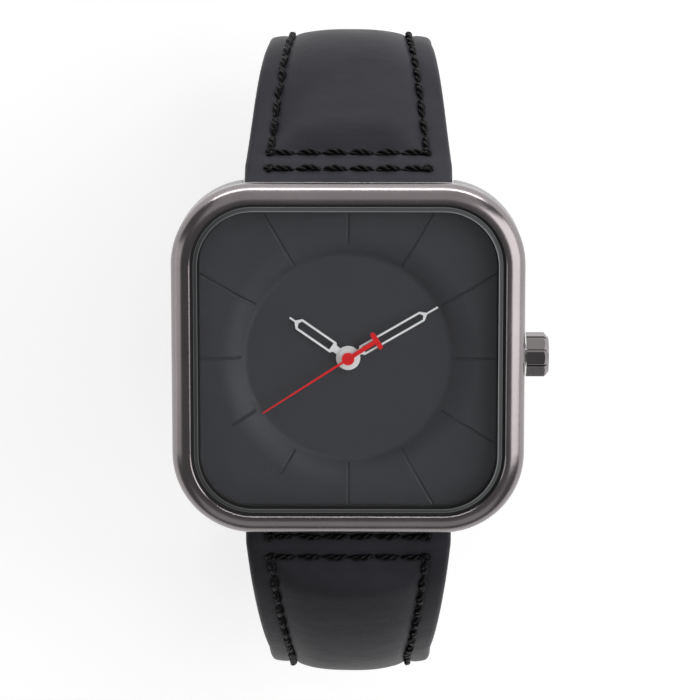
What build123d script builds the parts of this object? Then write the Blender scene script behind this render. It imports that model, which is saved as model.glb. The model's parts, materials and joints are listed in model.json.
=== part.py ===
from build123d import *
import math
import os

# Square wristwatch. Millimetres. The origin is the centre of the case back's outer face.
# +Z points out of the dial, +Y to twelve o'clock, +X to the crown.

# Case
case_width = 40.6
case_corner_radius = 9.4
case_top = 6.2
case_floor = 0.2
case_under_radius = 2.0
case_top_chamfer = 0.15
cavity_wall = 5.4
notch_clearance = 0.15
notch_depth = 4.2
notch_roof = 5.3
lug_hole_depth = 0.9
lug_hole_clearance = 0.06

# Case back with its gasket and screws
back_thickness = 1.1
back_inset = 4.8
back_corner_radius = 4.0
back_clearance = 0.05
back_edge_chamfer = 0.3
back_gasket_step = 0.45
back_gasket_width = 0.3
screw_inset = 2.4
screw_head_radius = 1.0
screw_head_height = 0.45
screw_shank_radius = 0.5
screw_shank_length = 2.4
screw_slot_width = 0.3
screw_slot_depth = 0.2
screw_clearance = 0.04

# Bezel, crystal and the gasket between them
bezel_top = 8.9
bezel_dome_radius = 2.0
bezel_ring = 2.25
bezel_edge_chamfer = 0.12
crystal_seat = 7.1
crystal_lip = 1.05
crystal_gap = 0.35
crystal_lift = 0.1
crystal_thickness = 1.6
crystal_chamfer = 0.5

# Dial
dial_inset = 2.8
dial_thickness = 0.4
dial_clearance = 0.05
bowl_depth = 1.2
bowl_inset = 2.6
bowl_slope_width = 3.3
bowl_foot_width = 0.6
dial_hole_radius = 0.95
groove_width = 0.42
groove_depth = 0.15
groove_foot_step = 0.75
groove_short_step = 0.6
groove_twelve_step = 1.5

# Hands, reaching out to a gap inside the sunk centre's rim, with their angles clockwise from twelve
hand_thickness = 0.15
hour_hand_top = 5.5
hour_tip_gap = 6.7
hour_rail_spacing = 1.16
hour_rail_width = 0.24
hour_tip = 0.74
hour_point = 0.58
hour_ring_radius = 1.4
hour_root = 2.35
hour_neck = 0.8
hour_angle = 304.9
minute_hand_top = 5.9
minute_tip_gap = 3.0
minute_rail_spacing = 1.0
minute_rail_width = 0.22
minute_tip = 1.47
minute_point = 0.62
minute_ring_radius = 1.14
minute_root = 2.1
minute_neck = 0.66
minute_angle = 59.9
hand_tip_width = 0.2
hand_foot = 0.24
hand_neck_taper = 0.26
second_hand_top = 6.35
second_tip_gap = 3.2
second_root_width = 0.26
second_tip_width = 0.14
second_tail_width = 0.5
second_tail_length = 3.9
second_bar_width = 2.2
second_bar_depth = 0.58
second_hub_radius = 0.72
second_dot_radius = 0.14
second_dot_depth = 0.06
second_angle = 237.2

# Crown and stem
crown_radius = 2.62
crown_length = 2.6
crown_gap = 0.25
crown_height = 3.4
crown_facets = 9
crown_flat_depth = 0.1
crown_groove_width = 0.24
crown_groove_depth = 0.2
crown_end_chamfer = 0.55
crown_socket_radius = 1.35
crown_socket_depth = 1.3
tube_radius = 1.0
tube_wall = 0.35
tube_proud = 1.0
crown_gasket_thickness = 0.25
stem_radius = 0.4
stem_inner_end = 3.4
stem_square = 0.5
stem_groove_place = 7.0
stem_groove_width = 0.5
stem_groove_radius = 0.22
stem_clearance = 0.05

# Movement plates
movement_width = 17.8
movement_height = 15.2
movement_corner = 1.5
plate_bottom = 3.3
plate_thickness = 0.6
holder_gap = 0.1
holder_bottom = 1.2
holder_clearance = 0.05
movement_top = 4.5
bridge_bottom = 1.3
bridge_thickness = 0.4
pillar_radius = 0.6
pillar_places = [(4.3, -2.2), (-4.9, -3.3), (-0.6, 4.5)]
bridge_screw_head = 0.45
bridge_screw_height = 0.12
bridge_screw_shank = 0.2
bridge_screw_length = 1.2
pivot_radius = 0.1
pivot_clearance = 0.04

# Going train: module, teeth and heights of each wheel
rotor_module = 0.09
fifth_module = 0.1
third_module = 0.0853
centre_module = 0.0806
cannon_module = 0.1
hour_module = 0.096
rotor_teeth = 6
fifth_wheel_teeth = 30
fifth_pinion_teeth = 6
seconds_wheel_teeth = 36
seconds_pinion_teeth = 8
third_wheel_teeth = 60
third_pinion_teeth = 8
centre_wheel_teeth = 64
cannon_teeth = 12
minute_wheel_teeth = 36
minute_pinion_teeth = 10
hour_wheel_teeth = 40
wheel_thickness = 0.15
seconds_wheel_height = 2.0
third_wheel_height = 2.35
centre_wheel_height = 2.85
fifth_wheel_height = 2.5
minute_wheel_height = 3.95
hour_wheel_height = 4.2
centre_distance_small = 2.1
fifth_direction = 60.0
third_direction = 250.0
rotor_direction = 40.0
minute_wheel_direction = 150.0
seconds_shaft_radius = 0.12
cannon_bore = 0.17
cannon_pipe_radius = 0.4
hour_bore = 0.45
hour_pipe_radius = 0.72
rotor_magnet_radius = 0.55
rotor_magnet_height = 0.35
rotor_gap = 0.15
washer_outer_radius = 1.7
washer_thickness = 0.08

# Battery, coil and electronics
battery_radius = 3.4
battery_place = (-5.0, 3.9)
battery_height = 2.1
battery_clearance = 0.1
battery_step = 0.3
clamp_thickness = 0.12
clamp_width = 1.6
stator_bottom = 2.75
stator_thickness = 0.4
coil_line = 6.1
coil_start = 1.4
coil_end = 7.6
coil_radius = 0.75
core_thickness = 0.5
core_width = 0.9
core_overhang = 0.8
board_bottom = 1.75
board_thickness = 0.25
board_top_edge = -4.0
board_side_gap = 0.6
resonator_radius = 0.6
resonator_length = 4.6

# Setting lever and sliding pinion
lever_thickness = 0.2
lever_length = 2.2
lever_width = 0.7
lever_pivot_radius = 0.35
lever_nib_radius = 0.17
sliding_pinion_place = 4.6
sliding_pinion_length = 1.1
sliding_pinion_radius = 0.75
sliding_pinion_teeth = 10
sliding_neck_radius = 0.55
sliding_neck_width = 0.35

# Spring bars
bar_inset = 2.0
bar_height = 3.3
bar_tube_radius = 0.75
bar_tube_end_gap = 0.55
bar_pin_radius = 0.4
bar_collar_radius = 0.62
bar_collar_width = 0.3

# Strap, measured along its outer face from the spring bar
strap_width = 24.0
strap_narrow_width = 20.0
taper_start = 4.3
taper_share = 0.15
loop_radius = 1.9
loop_wall = 1.05
cover_thickness = 1.2
lining_thickness = 1.1
lining_gap = 0.45
flap_length = 8.0
flap_extra = 0.7
pad_start = 6.4
pad_rise = 6.0
pad_height = 1.3
pad_flat = 0.04
pad_margin = 3.1
station_step = 3.4

# Upper half: exit angle, then bends given as radius and turn, the first a slight hollow. Its side
# and its level end take the lengths that bring the buckle to its place by the lower half.
upper_exit = 58.0
upper_hollow_radius = 80.0
upper_hollow_turn = 10.0
upper_wide_radius = 27.0
upper_wide_turn = 51.0
upper_tight_radius = 10.0
buckle_offset = 29.4
upper_pad_fade = 28.0
upper_pad_end = 54.0

# Lower half
lower_exit = 9.5
lower_first_radius = 20.0
lower_first_turn = 32.5
lower_wide_radius = 52.0
lower_wide_turn = 35.5
lower_tight_radius = 14.0
lower_tight_turn = 137.5
lower_rise = 6.0
lower_back_radius = 20.0
lower_tail_slope = 2.0
lower_level = 16.0
lower_pad_fade = 34.0
lower_pad_end = 60.0
tip_length = 8.0
tip_width_shares = [1.0, 0.95, 0.82, 0.6, 0.3]
hole_radius = 0.95
hole_count = 7
hole_spacing = 6.0
hole_from_tip = 20.0

# Stitching
stitch_pitch = 3.0
stitch_length = 2.7
stitch_width = 0.7
stitch_height = 0.35
stitch_root = 0.1
stitch_edge_place = 2.85
stitch_side_inset = 3.15

# Buckle
buckle_bar_radius = 0.75
buckle_bar_length = 23.2
buckle_inner_width = 20.5
buckle_wall = 1.8
buckle_depth = 2.0
buckle_reach = 12.4
buckle_corner_radius = 3.2
buckle_ear_radius = 1.35
buckle_ear_clearance = 0.06
buckle_edge_radius = 0.5
rail_notch_depth = 0.5
tongue_width = 2.0
tongue_thickness = 1.1
tongue_hub_radius = 1.45
tongue_clearance = 0.08
tongue_slot = 2.7
tongue_slot_length = 4.0
tongue_overhang = 0.7

# Keepers
keeper_thickness = 1.1
keeper_room = 2.2
keeper_clearance = 0.15
fixed_keeper_width = 5.0
fixed_keeper_place = 5.9
free_keeper_width = 4.5
free_keeper_place = 11.6

# Overrun of every cutting shape past the face it leaves
overrun = 0.4

dial_top = case_top
dial_bottom = case_top - dial_thickness
bowl_floor = dial_top - bowl_depth
half_case = case_width / 2
cavity_radius = half_case - cavity_wall
notch_wall = half_case - notch_depth
bar_offset = half_case - bar_inset
back_width = case_width - 2 * back_inset
back_gasket_radius = cavity_radius + back_gasket_step
screw_place = back_width / 2 - screw_inset
bezel_opening = case_width - 2 * bezel_ring
dial_width = case_width - 2 * dial_inset
bowl_rim_radius = dial_width / 2 - bowl_inset
bowl_floor_radius = bowl_rim_radius - bowl_slope_width
groove_foot_radius = bowl_floor_radius + groove_foot_step
groove_short_radius = bowl_rim_radius + groove_short_step
groove_twelve_radius = bowl_rim_radius - groove_twelve_step
hour_length = bowl_rim_radius - hour_tip_gap
minute_length = bowl_rim_radius - minute_tip_gap
second_length = bowl_rim_radius - second_tip_gap
holder_radius = cavity_radius - holder_gap
centre_distance_large = third_module * (seconds_pinion_teeth + third_wheel_teeth) / 2
motion_distance = cannon_module * (cannon_teeth + minute_wheel_teeth) / 2
rotor_distance = rotor_module * (rotor_teeth + fifth_wheel_teeth) / 2
notch_half = strap_width / 2 + notch_clearance


def place_at(distance, direction, origin=(0, 0)):
    """A point at a distance and a direction, in degrees from +X, from an origin."""
    angle = math.radians(direction)
    return origin[0] + distance * math.cos(angle), origin[1] + distance * math.sin(angle)


fifth_place = place_at(centre_distance_small, fifth_direction)
third_place = place_at(centre_distance_large, third_direction)
rotor_place = place_at(rotor_distance, rotor_direction, fifth_place)
minute_place = place_at(motion_distance, minute_wheel_direction)


def slab(sketch, bottom, top):
    """A sketch on the XY plane as a solid from one height to another."""
    return Pos(0, 0, bottom) * extrude(sketch, top - bottom)


def disc(radius, bottom, top, place=(0, 0)):
    """An upright cylinder."""
    return Pos(place[0], place[1], bottom) * extrude(Circle(radius), top - bottom)


def tube(outer, inner, bottom, top, place=(0, 0)):
    """An upright tube."""
    ring = Circle(outer) - Circle(inner)
    return Pos(place[0], place[1], bottom) * extrude(ring, top - bottom)


def rounded_square(width, radius):
    return RectangleRounded(width, width, radius)


def beam(radius, start, end, height=bar_height, offset=0):
    """A cylinder along X from start to end."""
    return Pos(start, offset, height) * Rot(0, 90, 0) * extrude(Circle(radius), end - start)


def save(node, shape):
    """Write one node's solids to its own file."""
    solids = shape.solids()
    body = solids[0] if len(solids) == 1 else Compound(children=list(solids))
    body.label = node
    export_step(body, f"parts/{node}.step")


def gear(teeth, module, bottom, height, phase, place=(0, 0), bore=0):
    """A spur gear with straight-sided teeth, one of them centred on the phase angle."""
    pitch = module * teeth / 2
    tip = pitch + module
    root = pitch - 1.2 * module
    half_shares = [(root, 0.33), (pitch, 0.23), (tip, 0.11)]
    points = []
    for index in range(teeth):
        middle = phase + 360 * index / teeth
        for radius, share in half_shares:
            angle = math.radians(middle - 360 * share / teeth)
            points.append((radius * math.cos(angle), radius * math.sin(angle)))
        for radius, share in reversed(half_shares):
            angle = math.radians(middle + 360 * share / teeth)
            points.append((radius * math.cos(angle), radius * math.sin(angle)))
    outline = make_face(Polyline(*points, close=True))
    if bore:
        outline = outline - Circle(bore)
    return Pos(place[0], place[1], bottom) * extrude(outline, height)


def gap_phase(teeth, direction):
    """The phase that puts a gap between two teeth towards a direction."""
    return direction + 180 / teeth


def clockwise(shape, angle):
    """Turn a shape drawn towards twelve o'clock to its place on the dial."""
    return Rot(0, 0, -angle) * shape


# Head of the watch

def notch_block(side):
    """The room that the strap's end takes in the case, open below and outwards."""
    depth = half_case - notch_wall + overrun
    centre = side * (notch_wall + depth / 2)
    room = Rectangle(2 * notch_half, depth)
    return Pos(0, centre, 0) * slab(room, -overrun, notch_roof)


def make_case_middle():
    case = slab(rounded_square(case_width, case_corner_radius), case_floor, case_top)
    case = fillet(case.edges().group_by(Axis.Z)[0], case_under_radius)
    case = chamfer(case.faces().sort_by(Axis.Z)[-1].edges(), case_top_chamfer)
    case -= disc(cavity_radius, -overrun, case_top + overrun)
    recess = back_width + 2 * back_clearance
    case -= slab(rounded_square(recess, back_corner_radius + back_clearance), -overrun, back_thickness)
    groove_inner = back_gasket_radius - back_gasket_width
    case -= tube(back_gasket_radius, groove_inner, back_thickness - overrun,
                 back_thickness + back_gasket_width)
    seat = dial_width + 2 * dial_clearance
    case -= slab(rounded_square(seat, dial_corner()), dial_bottom, case_top + overrun)
    for side in (-1, 1):
        case -= notch_block(side)
        hole = bar_pin_radius + lug_hole_clearance
        reach = notch_half + lug_hole_depth
        case -= beam(hole, -reach, reach, offset=side * bar_offset)
    for x, y in corner_places():
        case -= disc(screw_shank_radius, back_thickness - overrun, screw_shank_top() + overrun, (x, y))
    case -= beam(tube_radius, 0, half_case + overrun, crown_height)
    return case


def dial_corner():
    return case_corner_radius - (case_width - dial_width) / 2


def corner_places():
    return [(sx * screw_place, sy * screw_place) for sx in (-1, 1) for sy in (-1, 1)]


def screw_shank_top():
    return screw_head_height + screw_shank_length


def make_case_back():
    plate = slab(rounded_square(back_width, back_corner_radius), 0, back_thickness)
    plate = chamfer(plate.edges().group_by(Axis.Z)[0], back_edge_chamfer)
    for place in corner_places():
        plate -= disc(screw_head_radius + screw_clearance, -overrun, screw_head_height, place)
        plate -= disc(screw_shank_radius + screw_clearance, 0, back_thickness + overrun, place)
    return plate


def make_back_screws():
    """Four slotted screws, their heads flush with the case back."""
    screws = []
    for x, y in corner_places():
        screw = disc(screw_head_radius, 0, screw_head_height, (x, y))
        screw += disc(screw_shank_radius, 0, screw_shank_top(), (x, y))
        slot = Rectangle(2 * (screw_head_radius + overrun), screw_slot_width)
        turn = math.degrees(math.atan2(y, x))
        screw -= Pos(x, y, 0) * Rot(0, 0, turn) * slab(slot, -overrun, screw_slot_depth)
        screws.append(screw)
    return Compound(children=[solid for screw in screws for solid in screw.solids()])


def make_back_gasket():
    inner = back_gasket_radius - back_gasket_width
    return tube(back_gasket_radius, inner, back_thickness, back_thickness + back_gasket_width)


def bezel_corner(width):
    return case_corner_radius - (case_width - width) / 2


def make_bezel():
    bezel = slab(rounded_square(case_width, case_corner_radius), case_top, bezel_top)
    bezel = fillet(bezel.edges().group_by(Axis.Z)[-1], bezel_dome_radius)
    bezel = chamfer(bezel.edges().group_by(Axis.Z)[0], case_top_chamfer)
    throat = bezel_opening - 2 * crystal_lip
    bezel -= slab(rounded_square(throat, bezel_corner(throat)), case_top - overrun, bezel_top + overrun)
    opening = rounded_square(bezel_opening, bezel_corner(bezel_opening))
    bezel -= slab(opening, crystal_seat, bezel_top + overrun)
    mouth = bezel.faces().sort_by(Axis.Z)[-1].inner_wires()[0].edges()
    return chamfer(mouth, bezel_edge_chamfer)


def crystal_width():
    return bezel_opening - 2 * crystal_gap


def make_crystal_gasket():
    """A ring round the crystal with a thin lip under its edge."""
    outer = rounded_square(bezel_opening, bezel_corner(bezel_opening))
    inner = rounded_square(crystal_width(), bezel_corner(crystal_width()))
    throat = bezel_opening - 2 * crystal_lip
    lip = outer - rounded_square(throat, bezel_corner(throat))
    top = crystal_seat + crystal_lift + crystal_thickness - crystal_chamfer
    ring = slab(outer - inner, crystal_seat, top)
    return ring + slab(lip, crystal_seat, crystal_seat + crystal_lift)


def make_crystal():
    bottom = crystal_seat + crystal_lift
    pane = rounded_square(crystal_width(), bezel_corner(crystal_width()))
    crystal = slab(pane, bottom, bottom + crystal_thickness)
    return chamfer(crystal.edges().group_by(Axis.Z)[-1], crystal_chamfer)


def bowl_slope(lift):
    """The sunk centre's slope as a foot arc and a shoulder arc, level where they end."""
    width = bowl_rim_radius - bowl_floor_radius
    turn = 2 * math.atan(bowl_depth / width)
    foot = bowl_foot_width / math.sin(turn)
    shoulder = (width - bowl_foot_width) / math.sin(turn)
    arcs = []
    ends = ((foot, bowl_floor_radius, bowl_floor), (-shoulder, bowl_rim_radius, dial_top))
    for radius, start, level in ends:
        points = [(start + radius * math.sin(part), level + lift + radius * (1 - math.cos(part)))
                  for part in (0, turn / 2, turn)]
        arcs.append(ThreePointArc(*points))
    return arcs


def bowl(lift):
    """The sunk centre as a cut, with its floor and slope raised by lift."""
    floor = bowl_floor + lift
    rim = dial_top + lift
    top = rim + overrun
    edges = [Line((0, floor), (bowl_floor_radius, floor)),
             Line((bowl_rim_radius, rim), (bowl_rim_radius, top)),
             Line((bowl_rim_radius, top), (0, top)), Line((0, top), (0, floor))]
    profile = Plane.XZ * make_face(edges + bowl_slope(lift))
    return revolve(profile, Axis.Z)


def groove_cutter():
    """A V-shaped ridge whose foot follows the dial's face at the groove's depth."""
    path = bowl_slope(0) + [Line((bowl_rim_radius, dial_top), (half_case, dial_top))]
    spine = Plane.XZ * Wire(path)
    reach = overrun * groove_width / (2 * groove_depth)
    profile = make_face(Polyline((0, -groove_depth), (groove_width / 2 + reach, overrun),
                                 (-groove_width / 2 - reach, overrun), close=True))
    face = Plane(origin=(bowl_floor_radius, 0, bowl_floor), x_dir=(0, 1, 0), z_dir=(1, 0, 0)) * profile
    return sweep(face, path=spine)


def make_dial():
    """A pressed plate with a sunk centre and twelve hour grooves."""
    plate = slab(rounded_square(dial_width, dial_corner()), dial_bottom, dial_top)
    cup = disc(bowl_rim_radius + dial_thickness, bowl_floor - dial_thickness, dial_bottom)
    dial = plate + cup
    dial -= bowl(0)
    waste = slab(Circle(half_case), bowl_floor - 2 * dial_thickness, dial_bottom)
    dial -= waste - bowl(-dial_thickness)
    ridge = groove_cutter()
    for hour in range(12):
        start = groove_twelve_radius if hour == 0 else groove_foot_radius
        cutter = ridge - Cylinder(start, case_width)
        if hour in (7, 8):
            cutter = cutter & Cylinder(groove_short_radius, case_width)
        dial -= Rot(0, 0, 90 - hour * 30) * cutter
    dial -= disc(dial_hole_radius, 0, bezel_top)
    return dial


# Hands

def outline_hand(length, spacing, rail, tip, point, ring, root, neck, top, bore):
    """A hand of two rails that meet in a point, on a ring with a narrower neck."""
    outer_half = (spacing + rail) / 2
    inner_half = (spacing - rail) / 2
    shoulder = length - tip - point
    nose = length - tip
    half_tip = hand_tip_width / 2
    heel = root - hand_foot
    side = ((neck / 2, 0), (neck / 2, heel - hand_neck_taper), (outer_half, heel), (outer_half, shoulder),
            (half_tip, nose), (half_tip, length))
    outer = Polyline(*side, *[(-x, y) for x, y in reversed(side)], close=True)
    window = Polyline((-inner_half, root), (-inner_half, shoulder - rail / 2), (0, nose - 2 * rail),
                      (inner_half, shoulder - rail / 2), (inner_half, root), close=True)
    shape = make_face(outer) - make_face(window) + Circle(ring)
    return slab(shape - Circle(bore), top - hand_thickness, top)


def make_hour_hand():
    hand = outline_hand(hour_length, hour_rail_spacing, hour_rail_width, hour_tip, hour_point,
                        hour_ring_radius, hour_root, hour_neck, hour_hand_top, hour_pipe_radius)
    return clockwise(hand, hour_angle)


def make_minute_hand():
    hand = outline_hand(minute_length, minute_rail_spacing, minute_rail_width, minute_tip, minute_point,
                        minute_ring_radius, minute_root, minute_neck, minute_hand_top,
                        cannon_pipe_radius)
    return clockwise(hand, minute_angle)


def make_second_hand():
    root = second_root_width / 2
    end = second_tip_width / 2
    corners = ((-root, 0), (-end, second_length), (end, second_length), (root, 0))
    needle = make_face(Polyline(*corners, close=True))
    tail = Pos(0, -second_tail_length / 2) * Rectangle(second_tail_width, second_tail_length)
    bar = Pos(0, -second_tail_length) * SlotOverall(second_bar_width, second_bar_depth)
    shape = needle + tail + bar + Circle(second_hub_radius)
    hand = slab(shape, second_hand_top - hand_thickness, second_hand_top)
    hand -= disc(second_dot_radius, second_hand_top - second_dot_depth, second_hand_top + overrun)
    return clockwise(hand, second_angle)


# Wheels

def make_seconds_wheel():
    """Wheel, pinion and the long arbor that carries the second hand."""
    phase = gap_phase(seconds_wheel_teeth, fifth_direction)
    wheel = gear(seconds_wheel_teeth, fifth_module, seconds_wheel_height, wheel_thickness, phase)
    pinion_bottom = seconds_wheel_height + wheel_thickness
    pinion_top = third_wheel_height + wheel_thickness + pivot_clearance
    wheel += gear(seconds_pinion_teeth, third_module, pinion_bottom, pinion_top - pinion_bottom,
                  third_direction)
    arbor_top = second_hand_top - hand_thickness
    return wheel + disc(seconds_shaft_radius, bridge_bottom, arbor_top)


def make_fifth_wheel():
    turned = fifth_direction + 180
    wheel = gear(fifth_wheel_teeth, rotor_module, fifth_wheel_height, wheel_thickness,
                 gap_phase(fifth_wheel_teeth, rotor_direction), fifth_place)
    wheel += gear(fifth_pinion_teeth, fifth_module, seconds_wheel_height - wheel_thickness,
                  fifth_wheel_height - seconds_wheel_height + wheel_thickness, turned, fifth_place)
    return wheel + disc(pivot_radius, bridge_bottom, plate_bottom + plate_thickness, fifth_place)


def make_third_wheel():
    turned = third_direction + 180
    wheel = gear(third_wheel_teeth, third_module, third_wheel_height, wheel_thickness,
                 gap_phase(third_wheel_teeth, turned), third_place)
    pinion_bottom = third_wheel_height + wheel_thickness
    pinion_top = centre_wheel_height + wheel_thickness + pivot_clearance
    wheel += gear(third_pinion_teeth, centre_module, pinion_bottom, pinion_top - pinion_bottom,
                  turned, third_place)
    return wheel + disc(pivot_radius, bridge_bottom, plate_bottom + plate_thickness, third_place)


def make_centre_wheel():
    phase = gap_phase(centre_wheel_teeth, third_direction)
    wheel = gear(centre_wheel_teeth, centre_module, centre_wheel_height, wheel_thickness, phase)
    wheel += disc(cannon_pipe_radius, centre_wheel_height, minute_wheel_height - pivot_clearance)
    return wheel - disc(cannon_bore, 0, bezel_top)


def make_rotor():
    """A small magnet on a pinion that the coil steps round."""
    rotor = gear(rotor_teeth, rotor_module, fifth_wheel_height - pivot_clearance,
                 wheel_thickness + 2 * pivot_clearance, rotor_direction + 180, rotor_place)
    middle = stator_bottom + stator_thickness / 2
    rotor += disc(rotor_magnet_radius, middle - rotor_magnet_height / 2,
                  middle + rotor_magnet_height / 2, rotor_place)
    return rotor + disc(pivot_radius, bridge_bottom, plate_bottom + plate_thickness, rotor_place)


def make_cannon_pinion():
    """The minute hand's pipe, driven through a friction fit from the centre wheel."""
    pinion = gear(cannon_teeth, cannon_module, minute_wheel_height, wheel_thickness,
                  minute_wheel_direction)
    pinion += disc(cannon_pipe_radius, minute_wheel_height, minute_hand_top)
    return pinion - disc(cannon_bore, 0, bezel_top)


def make_minute_wheel():
    turned = minute_wheel_direction + 180
    wheel = gear(minute_wheel_teeth, cannon_module, minute_wheel_height, wheel_thickness,
                 gap_phase(minute_wheel_teeth, turned), minute_place)
    pinion_bottom = minute_wheel_height + wheel_thickness
    wheel += gear(minute_pinion_teeth, hour_module, pinion_bottom,
                  hour_wheel_height + wheel_thickness - pinion_bottom, turned, minute_place)
    stub_bottom = plate_bottom + plate_thickness / 2
    return wheel + disc(pivot_radius, stub_bottom, minute_wheel_height, minute_place)


def make_hour_wheel():
    phase = gap_phase(hour_wheel_teeth, minute_wheel_direction)
    wheel = gear(hour_wheel_teeth, hour_module, hour_wheel_height, wheel_thickness, phase)
    wheel += disc(hour_pipe_radius, hour_wheel_height, hour_hand_top)
    return wheel - disc(hour_bore, 0, bezel_top)


def make_dial_washer():
    bottom = hour_wheel_height + wheel_thickness + pivot_clearance
    return tube(washer_outer_radius, dial_hole_radius, bottom, bottom + washer_thickness)


# Movement

def movement_outline(extra=0):
    return RectangleRounded(movement_width + 2 * extra, movement_height + 2 * extra, movement_corner)


def coil_centre():
    """Height of the coil's axis."""
    return stator_bottom - core_thickness / 2


def stem_slot(extra, bottom, top):
    """The channel that the stem and the sliding pinion run in, out to +X."""
    half = sliding_pinion_radius + extra
    length = half_case
    room = Pos(stem_inner_end - 2 * overrun + length / 2, 0) * Rectangle(length, 2 * half)
    return slab(room, bottom, top)


def make_main_plate():
    plate = slab(movement_outline(), plate_bottom, plate_bottom + plate_thickness)
    plate -= disc(battery_radius + battery_clearance, 0, bezel_top, battery_place)
    plate -= disc(cannon_pipe_radius + pivot_clearance, 0, bezel_top)
    for place in (fifth_place, third_place, rotor_place, minute_place):
        plate -= disc(pivot_radius + pivot_clearance, 0, bezel_top, place)
    plate -= stem_slot(2 * stem_clearance, 0, bezel_top)
    bridge_top = bridge_bottom + bridge_thickness
    for place in pillar_places:
        plate += disc(pillar_radius, bridge_top, plate_bottom, place)
        plate -= disc(bridge_screw_shank, bridge_top - overrun, bridge_bottom + bridge_screw_length, place)
    lever = lever_place()
    post_bottom = lever_bottom() - lever_thickness
    plate += disc(lever_pivot_radius, post_bottom, plate_bottom, lever)
    return plate


def make_train_bridge():
    """A thin plate that holds the lower pivots of the train and joins the three pillars."""
    arms = [pillar_places[0], pillar_places[1], pillar_places[2], rotor_place]
    bridge = Circle(second_hub_radius * 2)
    for x, y in arms:
        length = math.hypot(x, y)
        turn = math.degrees(math.atan2(y, x))
        bar = Pos(length / 2, 0) * Rectangle(length, 2 * pillar_radius)
        bridge += Rot(0, 0, turn) * bar
        bridge += Pos(x, y) * Circle(pillar_radius * 1.3)
    bridge += Pos(*third_place) * Circle(pillar_radius * 1.3)
    bridge += Pos(*fifth_place) * Circle(pillar_radius)
    spine = Pos(centre_distance_large / 2, 0) * Rectangle(centre_distance_large, 2 * pillar_radius)
    bridge += Rot(0, 0, third_direction) * spine
    plate = slab(bridge, bridge_bottom, bridge_bottom + bridge_thickness)
    plate -= disc(battery_radius + battery_clearance, 0, bezel_top, battery_place)
    for place in (fifth_place, third_place, rotor_place):
        plate -= disc(pivot_radius + pivot_clearance, 0, bezel_top, place)
    plate -= disc(seconds_shaft_radius + pivot_clearance, 0, bezel_top)
    for place in pillar_places:
        plate -= disc(bridge_screw_shank + pivot_clearance, 0, bezel_top, place)
    return plate


def make_bridge_screws():
    screws = []
    for place in pillar_places:
        head_bottom = bridge_bottom - bridge_screw_height
        screw = disc(bridge_screw_head, head_bottom, bridge_bottom, place)
        screw += disc(bridge_screw_shank, head_bottom, bridge_bottom + bridge_screw_length, place)
        slot = Rectangle(2 * (bridge_screw_head + overrun), bridge_screw_height)
        cut = slab(slot, head_bottom - overrun, head_bottom + bridge_screw_height / 2)
        screws.append(screw - Pos(place[0], place[1], 0) * cut)
    return Compound(children=[solid for screw in screws for solid in screw.solids()])


def make_movement_holder():
    """The plastic ring that fills the case round the movement."""
    ring = Circle(holder_radius) - movement_outline(holder_clearance)
    holder = slab(ring, holder_bottom, movement_top)
    return holder - stem_slot(2 * stem_clearance, 0, bezel_top)


def make_battery():
    bottom = bridge_bottom
    cell = disc(battery_radius, bottom, bottom + battery_height, battery_place)
    lip = battery_radius - battery_step
    top = bottom + battery_height + battery_step
    return cell + disc(lip, bottom + battery_height, top, battery_place)


def make_battery_clamp():
    """A sprung strip under the battery, held to the movement's edge."""
    x, y = battery_place
    length = 2 * battery_radius
    strip = Pos(x, y) * Rectangle(length, clamp_width)
    cross = Pos(x, y) * Rectangle(clamp_width, length)
    return slab(strip + cross, bridge_bottom - clamp_thickness, bridge_bottom)


def make_coil_core():
    middle = (coil_start + coil_end) / 2
    length = coil_end - coil_start + 2 * core_overhang
    bar = Pos(middle, coil_line) * Rectangle(length, core_width)
    return slab(bar, stator_bottom - core_thickness, stator_bottom)


def make_coil_winding():
    """Fine wire wound round the core, as one closed body."""
    body = beam(coil_radius, coil_start, coil_end, coil_centre(), coil_line)
    hole = Pos((coil_start + coil_end) / 2, coil_line, coil_centre())
    hole = hole * Box(coil_end - coil_start + overrun, core_width, core_thickness)
    return body - hole


def make_stator():
    """The iron plate with the rotor's hole, lying on the two ends of the coil core."""
    left = coil_start - core_overhang
    right = coil_end + core_overhang
    foot = coil_line - core_width / 2
    top = coil_line + core_width / 2
    low = rotor_place[1] - 2 * rotor_magnet_radius
    inner_low = rotor_place[1] + 2 * rotor_magnet_radius
    start = rotor_place[0] - rotor_magnet_radius
    band = Pos((start + right) / 2, (low + inner_low) / 2) * Rectangle(right - start, inner_low - low)
    leg = Pos(right - core_overhang / 2, (low + top) / 2) * Rectangle(core_overhang, top - low)
    other_width = start + core_overhang - left
    other = Pos(left + other_width / 2, (inner_low - overrun + top) / 2)
    other = other * Rectangle(other_width, top - inner_low + overrun)
    shape = band + leg + other
    shape -= Pos(*rotor_place) * Circle(rotor_magnet_radius + rotor_gap)
    shape -= Circle(centre_wheel_reach())
    shape -= Pos((coil_start + coil_end) / 2, coil_line) * Rectangle(
        coil_end - coil_start + 2 * stem_clearance, 2 * (coil_radius + stem_clearance))
    return slab(shape, stator_bottom, stator_bottom + stator_thickness)


def centre_wheel_reach():
    """The radius that stays clear of the centre wheel's teeth."""
    return centre_module * (centre_wheel_teeth / 2 + 1) + rotor_gap


def make_circuit_board():
    left = -movement_width / 2 + board_side_gap
    right = movement_width / 2 - board_side_gap
    low = -movement_height / 2 + board_side_gap
    board = Pos((left + right) / 2, (low + board_top_edge) / 2)
    board = board * Rectangle(right - left, board_top_edge - low)
    plate = slab(board, board_bottom, board_bottom + board_thickness)
    for place in pillar_places:
        plate -= disc(pillar_radius + pivot_clearance, 0, bezel_top, place)
    plate -= disc(pivot_radius + pivot_clearance, 0, bezel_top, third_place)
    return plate


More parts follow.
